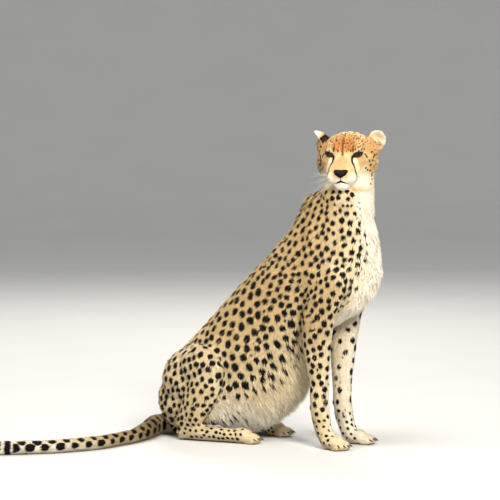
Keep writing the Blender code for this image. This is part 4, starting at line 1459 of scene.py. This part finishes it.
    def edge(self, points: Array, rest: Array, normal: Array, zone: dict[str, Array]) -> Array:
        """The distance outside the nearest black mark, negative inside one.

        Args:
            points: Places on the skin or the coat.
            rest: The same places before the skin was folded.
            normal: The skin's normal at each.
            zone: 1 for the places that belong to the head, an ear or the tail, by name.

        Returns:
            One distance a place, in metres.
        """
        found = np.array([[hit[1] for hit in self.tree.find_n(p, 3)] for p in points.tolist()])
        best = np.full(len(points), NO_MARK)
        for column in found.T:
            out = points - self.middles[column]
            a, b = self.half_long[column], self.half_wide[column]
            x, y = dot(out, self.long[column]), dot(out, self.side[column])
            best = np.minimum(best, (np.hypot(x / a, y / b) - 1.0) * np.minimum(a, b))
        head, ears, tail = (np.nonzero(zone[name] > 0.5)[0] for name in ("head", "ear", "tail"))
        best[tail] = self._tail_marks(points[tail])
        best[ears] = self._ear_band(points[ears], normal[ears])
        face = np.minimum(best[head], self._face_marks(points[head], rest[head]))
        best[head] = np.minimum(face, self._ear_band(points[head], normal[head]))
        return best

    def _face_marks(self, points: Array, rest: Array) -> Array:
        """The lines and dots of the face, and the black skin round the eyes."""
        own = self.stance.in_head(rest)
        best = CHEEK_STRIPE.edge(own, 1.0)
        for stroke in FACE_LINES:
            for side in stroke.both():
                best = np.minimum(best, stroke.edge(own, side))
        for side in SIDES.values():
            seen = local(self.stance.eye(side), points)
            outside = self.skin.opening.outside(side, seen[:, 1:])
            ring = outside - 0.0019 - 0.0014 * ease(seen[:, 2], -0.002, 0.004)
            close = (seen[:, 0] > 0.0) & (np.linalg.norm(seen, axis=1) < 0.03)
            best = np.where(close, np.minimum(best, ring), best)
        return best

    def _ear_band(self, points: Array, normal: Array) -> Array:
        """The black band across the back of each ear."""
        best = np.full(len(points), NO_MARK)
        for side in SIDES.values():
            (x, y, z), facing = (part.T for part in self._on_ear(points, normal, side))
            mine = self.stance.in_head(points)[:, 1] * side > 0
            band = np.maximum(np.abs(z - 0.019) - 0.016, (facing - 0.1) * 0.01)
            best = np.where(mine, np.maximum(band, np.hypot(x, y) - 0.03), best)
        return best

    def _tail_marks(self, points: Array) -> Array:
        """Rows of spots that grow towards the tail's end, then rings before its white tip."""
        share, turn, _ = self.on_tail(points)
        total = length_of(self.stance.tail_course)
        along = share * total
        best = np.full(len(points), NO_MARK)
        for row, (angle, shift, size) in enumerate(TAIL_ROWS):
            cell = along / TAIL_PITCH - shift
            near = (np.round(cell) - cell) * TAIL_PITCH
            around = np.radians((turn - angle + 180.0) % 360.0 - 180.0) * TAIL_RADIUS
            growth = 1.0 + 0.14 * np.sin(np.round(cell) * 2.3 + row) + 0.3 * ease(share, 0.6, 0.84)
            best = np.minimum(best, np.hypot(near, around) - TAIL_SPOT * size * growth)
        best = np.where(share < TAIL_SPOTS_END, best, NO_MARK)
        for k, place in enumerate(RING_PLACES):
            wobble = 0.003 * np.sin(np.radians(turn) + 1.7 * k)
            ring = np.abs(along + wobble - place * total) - (RING_HALF + 0.0014 * k)
            best = np.minimum(best, ring)
        return best


# ---------- The coat ----------


class Cut(Enum):
    """The shape of a tuft: corners as (along, across, ridge), then its triangles."""

    LEAF = (
        ((0.0, 0.0, 0.0), (0.5, -0.5, 0.0), (0.5, 0.0, 0.32), (0.5, 0.5, 0.0), (1.0, 0.0, 0.0)),
        ((0, 1, 2), (0, 2, 3), (1, 4, 2), (2, 4, 3)),
    )
    LOCK = (
        (
            (0.0, -0.35, 0.0), (0.0, 0.0, 0.2), (0.0, 0.35, 0.0),
            (0.33, -0.5, 0.0), (0.33, 0.0, 0.35), (0.33, 0.5, 0.0),
            (0.68, -0.36, 0.0), (0.68, 0.0, 0.3), (0.68, 0.36, 0.0),
            (1.0, 0.0, 0.0),
        ),
        (
            (0, 3, 4), (0, 4, 1), (1, 4, 5), (1, 5, 2),
            (3, 6, 7), (3, 7, 4), (4, 7, 8), (4, 8, 5),
            (6, 9, 7), (7, 9, 8),
        ),
    )


@dataclass
class Coat:
    """Tufts over the whole skin, in pieces by region."""

    skin: Skin
    stance: Stance
    markings: Markings
    lie: Array
    normal: Array
    patch: float = 0.003  # a tuft's share of the baking map, across
    most: int = 196000  # triangles in one piece
    locks: int = 24000  # long locks, before those on bare skin are left out
    root: float = 0.0006  # how deep a tuft is rooted
    lowest: float = 0.0004  # a tuft's height over the floor
    seed: int = SEED + 1

    def fields(self) -> None:
        """Works out the tufts' length, width, lift and room over the skin."""
        surface, marks = self.skin.surface, self.markings
        part, station, angle = marks.part, marks.station, marks.angle
        pelts = [pelt_of(node) for node in FLESH]
        table = np.array([(p.length, p.width, p.lift, p.room * 1e-6) for p in pelts])
        values = surface.spread(table[self.skin.label], 6)
        self.length, self.width, self.lift, self.room = values.T.copy()
        back = ease(-marks.own[:, 0], -0.11, 0.01)
        self.length *= np.where(part["head"] > 0, 0.52 + 0.62 * back, 1.0)
        self.width *= np.where(part["head"] > 0, 0.72 + 0.3 * back, 1.0)
        # long hair along the belly up to the forelegs, and on the nape
        belly = (1.0 - ease(angle, 28.0, 70.0)) * ease(station, 0.8, 2.0)
        belly *= 1.0 - 0.72 * ease(station, 4.6, 6.2)
        belly *= 1.0 - ease(station, 9.0, 11.5)
        ruff = ease(angle, 120.0, 150.0) * ease(station, 8.2, 9.4) * (1.0 - ease(station, 10.2, 11.2))
        self.long = surface.spread(marks.trunk * np.clip(belly + 0.45 * ruff, 0, 1), 6)
        self.long += part["tail"] * ease(marks.on_tail(surface.points)[0], 0.9, 0.99) * 0.8
        self.length *= 1.0 + 0.45 * self.long
        throat = surface.spread(marks.throat(), 4)
        neck = pelt_of("neck")
        as_neck = (0.85 * neck.length, neck.width, 4.0e-6)
        for mine, wanted in zip((self.length, self.width, self.room), as_neck):
            mine += throat * (wanted - mine)
        pressed = (surface.points[:, 2] < 0.004) & (self.normal[:, 2] < -0.5)
        self.grow = (1.0 - self.skin.bare()) * np.where(pressed, 0.15, 1.0)

    def planted(self, count: int, weight: Array, rng: np.random.Generator) -> dict[str, Array]:
        """Roots scattered over the skin.

        Args:
            count: How many.
            weight: How thickly they stand at each corner of the skin.
            rng: Where chance comes from.

        Returns:
            The fields of the skin at each root, by name.
        """
        skin, marks, surface = self.skin, self.markings, self.skin.surface
        chance = surface.areas() * weight[surface.faces].mean(axis=1)
        scatter = surface.scattered(count, chance, rng)
        fields = {
            "place": surface.points, "rest": skin.rest, "lie": self.lie, "length": self.length,
            "width": self.width, "lift": self.lift, "long": self.long, "pale": marks.pale, "warm": marks.warm,
        }
        roots = {name: scatter.at(values) for name, values in fields.items()}
        roots["normal"] = unit(scatter.at(self.normal))
        roots["label"] = skin.label[scatter.tris[:, 0]]
        # painted shade of the folds and of the shaded parts, taken off the tufts' tone
        roots["fold"] = scatter.at(skin.fold) * FOLD_SHADE + scatter.at(marks.shade)
        roots["angle"] = np.radians(scatter.at(marks.angle))
        keep = rng.random(count) < scatter.at(self.grow)
        return {name: column[keep] for name, column in roots.items()}

    def build(self, finish: Material) -> list[Piece]:
        """Plants the short coat and the long locks.

        Args:
            finish: The coat's material.

        Returns:
            The pieces.
        """
        self.fields()
        rng = np.random.default_rng(self.seed)
        surface, weight = self.skin.surface, 1.0 / self.room
        total = int((surface.areas() * weight[surface.faces].mean(axis=1)).sum())
        short = self.planted(total, weight, rng)
        locks = self.planted(self.locks, self.long + 1e-6, rng)
        locks["length"] *= 1.35 + 1.15 * locks["long"]
        locks["width"] *= 1.25
        pieces = []
        for cut, roots, kind in ((Cut.LEAF, short, "coat"), (Cut.LOCK, locks, "locks")):
            tufts = self._tufts(cut, roots, rng)
            regions = self._regions(roots, kind)
            for name in sorted(set(regions)):
                mine = np.nonzero(regions == name)[0]
                pieces += self._pieces(name, cut, {key: column[mine] for key, column in tufts.items()})
        for piece in pieces:
            piece.data.materials.append(finish)
            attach(piece, ROOT)
            LOG.info("%s: %d triangles", piece.name, len(piece.data.polygons))
        return pieces

    def _regions(self, roots: dict[str, Array], kind: str) -> Array:
        """The name of the piece that each tuft goes to."""
        base = np.array([pelt_of(node).region for node in FLESH])[roots["label"]]
        if kind == "locks":
            return np.where(base == "tail", "locks_tail", "locks_body")
        own = self.stance.in_head(roots["place"])[:, 1]
        level = roots["place"][:, 1] - self.stance.offset[1]
        side = np.where(np.where(base == "head", own, level) > 0, "_left", "_right")
        whole = np.isin(base, ("ears", "neck", "tail"))
        return np.char.add(np.char.add("coat_", base), np.where(whole, "", side))

    def _tufts(self, cut: Cut, roots: dict[str, Array], rng: np.random.Generator) -> dict[str, Array]:
        """Every tuft's corners and what it stores.

        Args:
            cut: The tufts' shape.
            roots: The fields of the skin at their roots.
            rng: Where chance comes from.

        Returns:
            Corners, and one value a tuft for each stored name.
        """
        count = len(roots["place"])
        place, normal, long = roots["place"], roots["normal"], roots["long"]
        lie = unit(roots["lie"] - dot(roots["lie"], normal)[:, None] * normal)
        side = np.cross(normal, lie)
        stray = np.radians(rng.normal(0.0, 9.0, count)) + 0.22 * sway(place, 0.045, 1.3)
        heading = lie * np.cos(stray)[:, None] + side * np.sin(stray)[:, None]
        across = np.cross(normal, heading)
        length = roots["length"] * rng.uniform(0.75, 1.22, count)
        width = roots["width"] * rng.uniform(0.8, 1.25, count)
        lift = np.radians(roots["lift"] * (0.72 + 0.55 * rng.random(count)))
        t, u, ridge = np.array(cut.value[0]).T
        up = np.outer(np.sin(lift) * length, t**0.85) + np.outer(width, ridge)
        corners = (place - self.root * normal)[:, None, :]
        ahead, beside = np.outer(np.cos(lift) * length, t), np.outer(width, u)
        for way, far in ((heading, ahead), (normal, up), (across, beside)):
            corners = corners + way[:, None, :] * far[:, :, None]
        corners[:, :, 2] += -0.28 * np.outer(long * length, t**2)
        corners[:, :, 2] = np.maximum(corners[:, :, 2], self.lowest)
        seen = place + heading * (0.6 * length * np.cos(lift))[:, None]
        names = np.array(FLESH)[roots["label"]]
        zone = {key: np.char.startswith(names, key).astype(float) for key in ("head", "ear", "tail")}
        rest = seen + roots["rest"] - place
        dark = self.markings.edge(seen, rest, normal, zone) + rng.normal(0.0, 0.0004, count)
        # bands of paler and darker tone across the long belly hair: partly the hair's own streaks, partly
        # painted shade between clumps of hair
        strands_and_shade = np.sin(95.0 * roots["angle"] + 2.6 * sway(place, 0.07, 0.7)) * long * (1.0 - zone["tail"])
        tone = rng.normal(0.0, 0.45 + 0.25 * long) + 0.35 * sway(place, 0.06, 0.4) + 1.1 * strands_and_shade
        kept = {name: roots[name] for name in ("place", "pale", "warm")}
        # a random tone, less the painted shade
        return {"corners": corners, "dark": dark, "tone": tone - roots["fold"], **kept}

    def _pieces(self, name: str, cut: Cut, tufts: dict[str, Array]) -> list[Piece]:
        """One region's tufts, in as many objects as keep each under the limit."""
        each = len(cut.value[1])
        parts = -(-len(tufts["dark"]) * each // self.most)
        order = np.argsort(tufts["place"][:, 2])
        made = []
        for k, mine in enumerate(np.array_split(order, parts)):
            label = name if parts == 1 else f"{name}_{k + 1}"
            made.append(self._piece(label, cut, {key: column[mine] for key, column in tufts.items()}))
        return made

    def _piece(self, name: str, cut: Cut, tufts: dict[str, Array]) -> Piece:
        """One object of joined tufts, with its stored values and its baking map."""
        corners = tufts["corners"]
        count, per = corners.shape[:2]
        faces = np.array(cut.value[1])[None] + per * np.arange(count)[:, None, None]
        obj = shaped(name, corners.reshape(-1, 3), faces.reshape(-1, 3))
        note(obj, **{key: np.repeat(tufts[key], per) for key in ("dark", "pale", "warm", "tone")})
        profile = np.array(cut.value[0])
        leaf = np.stack([profile[:, 1], profile[:, 0] - 0.5], axis=1) * self.patch
        places = self._unwrapped(tufts["place"])[:, None, :] + leaf[None]
        layer = obj.data.uv_layers.new(name="OFBake")
        layer.data.foreach_set("uv", places.reshape(-1, 2)[faces.ravel()].astype(np.float32).ravel())
        return obj

    @staticmethod
    def _unwrapped(places: Array) -> Array:
        """Each root's place on an unwrap of its region.

        The region is unrolled round its longest axis. The rows along the axis, and the places in a
        row, are then spread evenly, so that neighbours stay neighbours and no two patches meet.

        Args:
            places: The roots, one a row.

        Returns:
            One (u, v) pair a root.
        """
        out = places - places.mean(axis=0)
        axes = np.linalg.eigh(out.T @ out)[1]
        along, a, b = out @ axes[:, 2], out @ axes[:, 1], out @ axes[:, 0]
        turn = np.arctan2(b, a)
        rows = max(1, math.ceil(math.sqrt(len(places))))
        order = np.argsort(along)
        uv = np.empty((len(places), 2))
        for row, mine in enumerate(np.array_split(order, rows)):
            ranked = mine[np.argsort(turn[mine])]
            uv[ranked, 0] = (np.arange(len(ranked)) + 0.5) / rows
            uv[ranked, 1] = (row + 0.5) / rows
        return uv


@dataclass
class Growth:
    """Which way the hair lies at each corner of the skin."""

    skin: Skin
    stance: Stance
    blend: int = 14  # rounds over which one part's direction passes into the next one's

    def lie(self, normal: Array) -> Array:
        """Unit directions along the skin, blended where one part meets the next."""
        surface, label = self.skin.surface, self.skin.label
        points = surface.points
        own = self.stance.in_head(points)
        turn = np.array(self.stance.head)[:3, :3]
        station, angle, trunk = self.stance.trunk(points)
        sweep = ((1.0 - ease(angle, 34.0, 92.0)) * (1.0 - ease(station, 4.6, 6.8)))[:, None]
        from_nose = (own - (0.138, 0.0, -0.026)) @ turn.T
        for side in SIDES.values():
            out = own - (EYE_PLACE.x, side * EYE_PLACE.y, EYE_PLACE.z)
            near = np.exp(-((np.linalg.norm(out, axis=1) / 0.024) ** 4))[:, None]
            from_nose = unit(from_nose) + 1.6 * near * unit(out @ turn.T)
        ears = (self.stance.ear(side)[:3, 2] for side in SIDES.values())
        rules = {
            Lie.FROM_NOSE: unit(from_nose),
            Lie.ALONG_EAR: np.where((own[:, 1] > 0)[:, None], *ears),
            Lie.ALONG_TRUNK: unit(trunk + sweep * np.array((2.3, 0.0, -1.15))),
            Lie.DOWN_ARM: (-0.1, 0.0, -1.0),
            Lie.DOWN_THIGH: (-0.22, 0.0, -1.0),
            Lie.DOWN_SHANK: (-0.45, 0.0, -0.9),
            Lie.TO_TOES: unit(np.array((1.0, 0.0, -0.35))),
            Lie.ALONG_TAIL: unrolled(self.stance.tail_course, points)[2],
        }
        flow = np.zeros_like(points)
        for rule, direction in rules.items():
            mine = np.array([pelt_of(node).lie is rule for node in FLESH])[label]
            flow[mine] = np.broadcast_to(direction, points.shape)[mine]
        for _ in range(self.blend):
            flow = surface.spread(flow, 1)
            flow = unit(flow - dot(flow, normal)[:, None] * normal)
        return flow


# ---------- Eyes, nose, claws, whiskers ----------


@dataclass
class Eyes:
    """The two eyeballs and the dark rims of their lids."""

    stance: Stance
    opening: Opening
    bulge: float = 0.0012  # how far the clear front stands off the ball
    bulge_reach: float = 46.0  # degrees from its middle
    rings: int = 48
    spokes: int = 72
    rim_lift: float = 0.0008  # the middle of the lids' rim over the ball
    rim_high: float = 0.0006  # half its height
    rim_wide: float = 0.0012  # half its width
    rim_sides: int = 10

    def build(self, glass: Material, rim: Material) -> None:
        """Builds both eyes."""
        for name, side in SIDES.items():
            ball = self._ball(f"eyeball_{name}", side)
            ball.data.materials.append(glass)
            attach(ball, ROOT)
            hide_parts(f"eye_{name}")
            edge = self._rim(f"eyelid_rim_{name}", side)
            edge.data.materials.append(rim)
            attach(edge, ROOT)
            LOG.info("%s and %s", ball.name, edge.name)

    def _ball(self, name: str, side: float) -> Piece:
        """An eyeball whose grid runs out from the middle of the pupil."""
        angle = np.radians(np.linspace(0.4, 150.0, self.rings))
        a, t = (g.ravel() for g in np.meshgrid(angle, ring_turns(self.spokes), indexing="ij"))
        reach = EYE_RADIUS + self.bulge * (1.0 - ease(np.degrees(a), 10.0, self.bulge_reach))
        own = np.stack([np.cos(a), np.sin(a) * np.cos(t), np.sin(a) * np.sin(t)], axis=1) * reach[:, None]
        ends = np.array([(EYE_RADIUS + self.bulge, 0.0, 0.0), (-EYE_RADIUS * 0.87, 0.0, 0.0)])
        points = placed(self.stance.eye(side), np.concatenate([own, ends]))
        faces = grid_faces(self.rings, self.spokes)[:, ::-1]
        caps = []
        for k in range(self.spokes):
            j, last = (k + 1) % self.spokes, len(own) - self.spokes
            caps += [(k, j, len(own)), (last + j, last + k, len(own) + 1)]
        obj = shaped(name, points, np.concatenate([faces, np.array(caps)]))
        spoke = np.stack([np.cos(t), np.sin(t), 0.3 * a], axis=1)
        note(
            obj,
            ring=np.concatenate([np.degrees(a), (0.0, 180.0)]),
            spoke=np.concatenate([spoke, np.zeros((2, 3))]),
            # painted shadow of the upper lid, strongest at the top of the ball
            lidded=np.concatenate([ease(own[:, 2], 0.0005, 0.006), (0.0, 0.0)]),
        )
        return obj

    def _rim(self, name: str, side: float) -> Piece:
        """The lids' edge as a slim closed roll on the eyeball."""
        edge = self.opening.outline(side)
        forward = np.sqrt(np.maximum(EYE_RADIUS**2 - np.linalg.norm(edge, axis=1) ** 2, 1e-8))
        out = unit(np.column_stack([forward, edge]))
        beside = np.cross(out, unit(np.roll(out, -1, axis=0) - np.roll(out, 1, axis=0)))
        points = []
        for k in range(self.rim_sides):
            turn = 2.0 * math.pi * k / self.rim_sides
            lifted = out * (EYE_RADIUS + self.rim_lift) + out * self.rim_high * math.sin(turn)
            points.append(lifted + beside * self.rim_wide * math.cos(turn))
        rows = placed(self.stance.eye(side), np.stack(points, axis=1).reshape(-1, 3))
        return shaped(name, rows, grid_faces(len(edge), self.rim_sides, True))


@dataclass
class Nose:
    """The nose pad: broad above, narrow below, with two comma-shaped nostrils."""

    stance: Stance
    mould: BVHTree
    rings: int = 56
    spokes: int = 112
    proud: float = 0.0016  # how far its middle stands off the head's surface
    tuck: float = 0.0016  # how far its edge dips under it
    thick: float = 0.007

    def build(self, finish: Material) -> None:
        """Builds the pad over the muzzle's end."""
        front = self._sheet()
        count, rim = len(front), (self.rings - 1) * self.spokes
        back = front - (self.thick, 0.0, 0.0)
        faces = grid_faces(self.rings, self.spokes)
        sheet = np.concatenate([faces[:, ::-1], fan(count - 1, 0, self.spokes)])
        _, a, b = fan(count - 1, rim, self.spokes).T
        walls = np.stack([a, a + count, b, b, a + count, b + count], axis=1).reshape(-1, 3)
        everything = np.concatenate([sheet, sheet[:, ::-1] + count, walls])
        obj = shaped("nose_pad", self.stance.from_head(np.concatenate([front, back])), everything)
        obj.data.materials.append(finish)
        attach(obj, ROOT)
        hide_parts("nose")
        LOG.info("nose_pad: %d triangles", len(obj.data.polygons))

    def _sheet(self) -> Array:
        """The pad's front in the head's own frame: rings from the middle out, then the middle."""
        share = np.linspace(0.0, 1.0, self.rings + 1)[1:] ** 0.85
        r, t = (g.ravel() for g in np.meshgrid(share, ring_turns(self.spokes), indexing="ij"))
        reach = r * NosePad.reach(t)
        y = np.concatenate([reach * np.cos(t), [0.0]])
        z = np.concatenate([reach * np.sin(t), [0.0]]) + NosePad.MIDDLE[1]
        x = np.array([self._front(a, b) for a, b in zip(y.tolist(), z.tolist())])
        dome = 1.0 - np.concatenate([r, [0.0]]) ** 5
        x = x + self.proud * dome - self.tuck * (1.0 - dome)
        across = np.abs(y)
        hole = np.hypot((across - 0.0098) / 0.004, (z + 0.0385) / 0.0032)
        slit = np.hypot((across - 0.015) / 0.0048, (z + 0.0372 - 0.35 * (across - 0.015)) / 0.0015)
        wing = ((across - 0.012) / 0.008) ** 2 + ((z + 0.033) / 0.0034) ** 2
        x -= 0.0068 * bell(hole, 1.0) + 0.0042 * bell(slit, 1.0)
        x += 0.0011 * np.exp(-wing)
        x -= 0.0018 * bell(across, 0.0012) * (1.0 - ease(z, -0.041, -0.034))
        return np.stack([x, y, z], axis=1)

    def _front(self, y: float, z: float) -> float:
        """How far forward the head's surface is at (y, z) in its own frame."""
        hit = self.mould.ray_cast(Vector((0.3, y, z)), Vector((-1.0, 0.0, 0.0)))[0]
        return hit.x if hit else 0.11


@dataclass
class Claws:
    """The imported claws, rounded and given their horn."""

    levels: int = 2

    def dress(self, finish: Material) -> None:
        """Rounds each claw and gives it the finish."""
        names = [node for node in sorted(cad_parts) if node.startswith("claw_")]
        for name in names:
            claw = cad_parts[name]
            weld = claw.modifiers.new("weld", "WELD")
            weld.merge_threshold = 0.00001
            rounder = claw.modifiers.new("rounder", "SUBSURF")
            rounder.levels = rounder.render_levels = self.levels
            claw.data.materials.clear()
            claw.data.materials.append(finish)
        LOG.info("claws: %d", len(names))


@dataclass
class Whiskers:
    """Long stiff hairs on the whisker pads and over the eyes."""

    stance: Stance
    tree: BVHTree
    thick: float = 0.0003
    joints: int = 12
    around: int = 4
    seed: int = SEED + 2

    def roots(self) -> list[tuple[Array, Array, float]]:
        """Where each hair starts, which way it sets off and how long it is, in the head's own frame."""
        rng = np.random.default_rng(self.seed)
        hairs = []
        for side in SIDES.values():
            for row, k in np.ndindex(4, 4):
                out, down = 0.02 + 0.0062 * k, -0.047 - 0.0056 * row - 0.001 * k
                start = np.array((0.121 - 0.0075 * k, side * out, down))
                heading = np.array((-0.05 - 0.22 * k, side * 1.0, -0.1 - 0.2 * row + 0.08 * k))
                hairs.append((start, unit(heading + rng.normal(0.0, 0.09, 3)), rng.uniform(0.045, 0.088)))
            for k in range(3):
                start = np.array((0.06 - 0.004 * k, side * (0.033 + 0.006 * k), 0.033))
                heading = np.array((0.25, side * (0.35 + 0.25 * k), 0.9))
                hairs.append((start, unit(heading), rng.uniform(0.028, 0.04)))
        return hairs

    def build(self, finish: Material) -> None:
        """Builds all the hairs as one piece."""
        points, faces, along = [], [], []
        tube = grid_faces(self.joints + 1, self.around)
        last = self.joints * self.around
        ends = np.array([(0, 2, 1), (0, 3, 2), (last, last + 1, last + 2), (last, last + 2, last + 3)])
        for first, (start, heading, length) in enumerate(self.roots()):
            root = np.array(self.tree.find_nearest(self.stance.from_head(start[None])[0])[0])
            heading = np.array(self.stance.head)[:3, :3] @ heading
            side = unit(np.cross(heading, (0.0, 0.0, 1.0)))
            up = np.cross(side, heading)
            for t in np.arange(self.joints + 1) / self.joints:
                middle = root + heading * length * (t - 0.04) + np.array((0.0, 0.0, -0.22)) * length * t * t
                thick = self.thick * (1.0 - 0.86 * t)
                for a in ring_turns(self.around):
                    points.append(middle + thick * (side * math.cos(a) + up * math.sin(a)))
                along += [t] * self.around
            faces += [part + first * (last + self.around) for part in (tube, ends)]
        obj = shaped("whiskers", np.array(points), np.concatenate(faces))
        note(obj, along=np.array(along))
        obj.data.materials.append(finish)
        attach(obj, ROOT)
        LOG.info("whiskers: %d triangles", len(obj.data.polygons))


# ---------- The studio ----------


@dataclass
class Studio:
    """A plain pale floor that curves up far behind, soft lights and the camera."""

    stance: Stance
    distance: float = 9.2
    height: float = 1.3
    azimuth: float = math.radians(30.0)
    yaw: float = math.radians(1.533)
    pitch: float = math.radians(-4.342)
    sensor: float = 36.0
    lens: float = 36.0 * 3016.0 / 500.0
    flat: float = 9.0  # the level floor's radius
    rise: float = 5.0  # how far the backdrop rises beyond it
    spokes: int = 96
    sky: tuple[float, float, float, float] = (0.92, 0.95, 1.0, 1.0)
    sky_strength: float = 0.56
    # name, place from the ground between the forefeet, size, power, colour
    LIGHTS = (
        ("key", (3.3, -2.8, 3.2), 1.3, 312.0, (1.0, 0.95, 0.86)),
        ("fill", (-0.3, -1.6, 5.4), 2.4, 235.0, (1.0, 0.99, 0.96)),
        ("rim", (-2.6, 3.4, 3.4), 1.6, 130.0, (1.0, 0.97, 0.92)),
    )

    def build(self, finish: Material) -> None:
        """Builds the floor, the lights and the camera."""
        self._floor(finish)
        self._lights()
        self._camera()

    def _floor(self, finish: Material) -> None:
        """A round floor that rises smoothly into a low backdrop all round."""
        bend = np.radians(np.arange(9, 91, 9))
        level = np.linspace(0.0, self.flat, 8)[1:]
        radii = np.concatenate([level, self.flat + self.rise * np.sin(bend)])
        heights = np.concatenate([0.0 * level, self.rise * (1.0 - np.cos(bend))])
        turn = ring_turns(self.spokes)
        rows = []
        for r, h in zip(radii, heights):
            rows.append(np.stack([r * np.cos(turn), r * np.sin(turn), np.full(len(turn), h)], axis=1))
        points = np.concatenate([*rows, [(0.0, 0.0, 0.0)]])
        faces = grid_faces(len(radii), self.spokes)[:, ::-1]
        floor = shaped("studio_floor", points, np.concatenate([faces, fan(len(points) - 1, 0, self.spokes)]))
        floor.data.materials.append(finish)

    def _lights(self) -> None:
        """A warm key from the animal's right front, a broad fill from high above, a light from behind on its
        left, and the pale world.
        """
        world = bpy.data.worlds.new("studio")
        bpy.context.scene.world = world
        bpy.context.scene.view_settings.view_transform = "Standard"
        world.use_nodes = True
        background = world.node_tree.nodes["Background"]
        background.inputs[0].default_value, background.inputs[1].default_value = self.sky, self.sky_strength
        target = self.stance.shift + Vector((-0.15, 0.0, 0.5))
        for name, place, size, power, colour in self.LIGHTS:
            lamp = bpy.data.lights.new(name, "AREA")
            lamp.energy, lamp.size, lamp.color = power, size, colour
            obj = bpy.data.objects.new(name, lamp)
            bpy.context.scene.collection.objects.link(obj)
            obj.location = self.stance.shift + Vector(place)
            obj.rotation_euler = (target - obj.location).to_track_quat("-Z", "Y").to_euler()

    def _camera(self) -> None:
        """A long lens from the animal's right front."""
        lens = bpy.data.cameras.new("camera")
        lens.sensor_width, lens.lens = self.sensor, self.lens
        lens.clip_start, lens.clip_end = 0.5, 100.0
        camera = bpy.data.objects.new("camera", lens)
        bpy.context.scene.collection.objects.link(camera)
        away = Vector((math.sin(self.azimuth), -math.cos(self.azimuth), 0.0))
        level = Matrix.Rotation(self.yaw, 3, "Z") @ -away
        ahead = level * math.cos(self.pitch) + Vector((0.0, 0.0, math.sin(self.pitch)))
        right = ahead.cross(Vector((0.0, 0.0, 1.0))).normalized()
        up = right.cross(ahead)
        matrix = Matrix((right, up, -ahead)).transposed().to_4x4()
        matrix.translation = self.stance.shift + away * self.distance + Vector((0.0, 0.0, self.height))
        camera.matrix_world = matrix
        bpy.context.scene.camera = camera


# ---------- The whole ----------


def main() -> None:
    """Builds every piece in order."""
    logging.basicConfig(level=logging.INFO, format="%(message)s")
    stance = Stance()
    skin = Skin(stance)
    skin.build()
    surface = skin.surface
    normal = surface.normals()
    lie = Growth(skin, stance).lie(surface.spread(normal, 3))
    markings = Markings(skin, stance, lie, normal)
    markings.paint()

    hide = shaped("skin", surface.points, surface.faces)
    dark = markings.edge(surface.points, skin.rest, normal, markings.part)
    # the skin's tone: a slow random wavering, less the painted shade of the folds and of the shaded parts
    tone = 0.3 * sway(surface.points, 0.05, 0.9) - 0.2 - FOLD_SHADE * skin.fold - markings.shade
    note(hide, dark=dark, pale=markings.pale, warm=markings.warm, tone=tone)
    hide.data.materials.append(CoatFinish("skin_coat", True).made())
    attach(hide, ROOT)
    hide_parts(*FLESH)
    LOG.info("skin: %d triangles", len(hide.data.polygons))

    Coat(skin, stance, markings, lie, surface.spread(normal, 3)).build(CoatFinish("tuft_coat", False).made())
    Eyes(stance, skin.opening).build(EyeFinish().made(), LidFinish().made())
    Nose(stance, skin.mould).build(NoseFinish().made())
    Claws().dress(ClawFinish().made())
    tree = BVHTree.FromPolygons(surface.points.tolist(), surface.faces.tolist())
    Whiskers(stance, tree).build(WhiskerFinish().made())
    Studio(stance).build(FloorFinish().made())


if __name__ == "__main__":
    main()
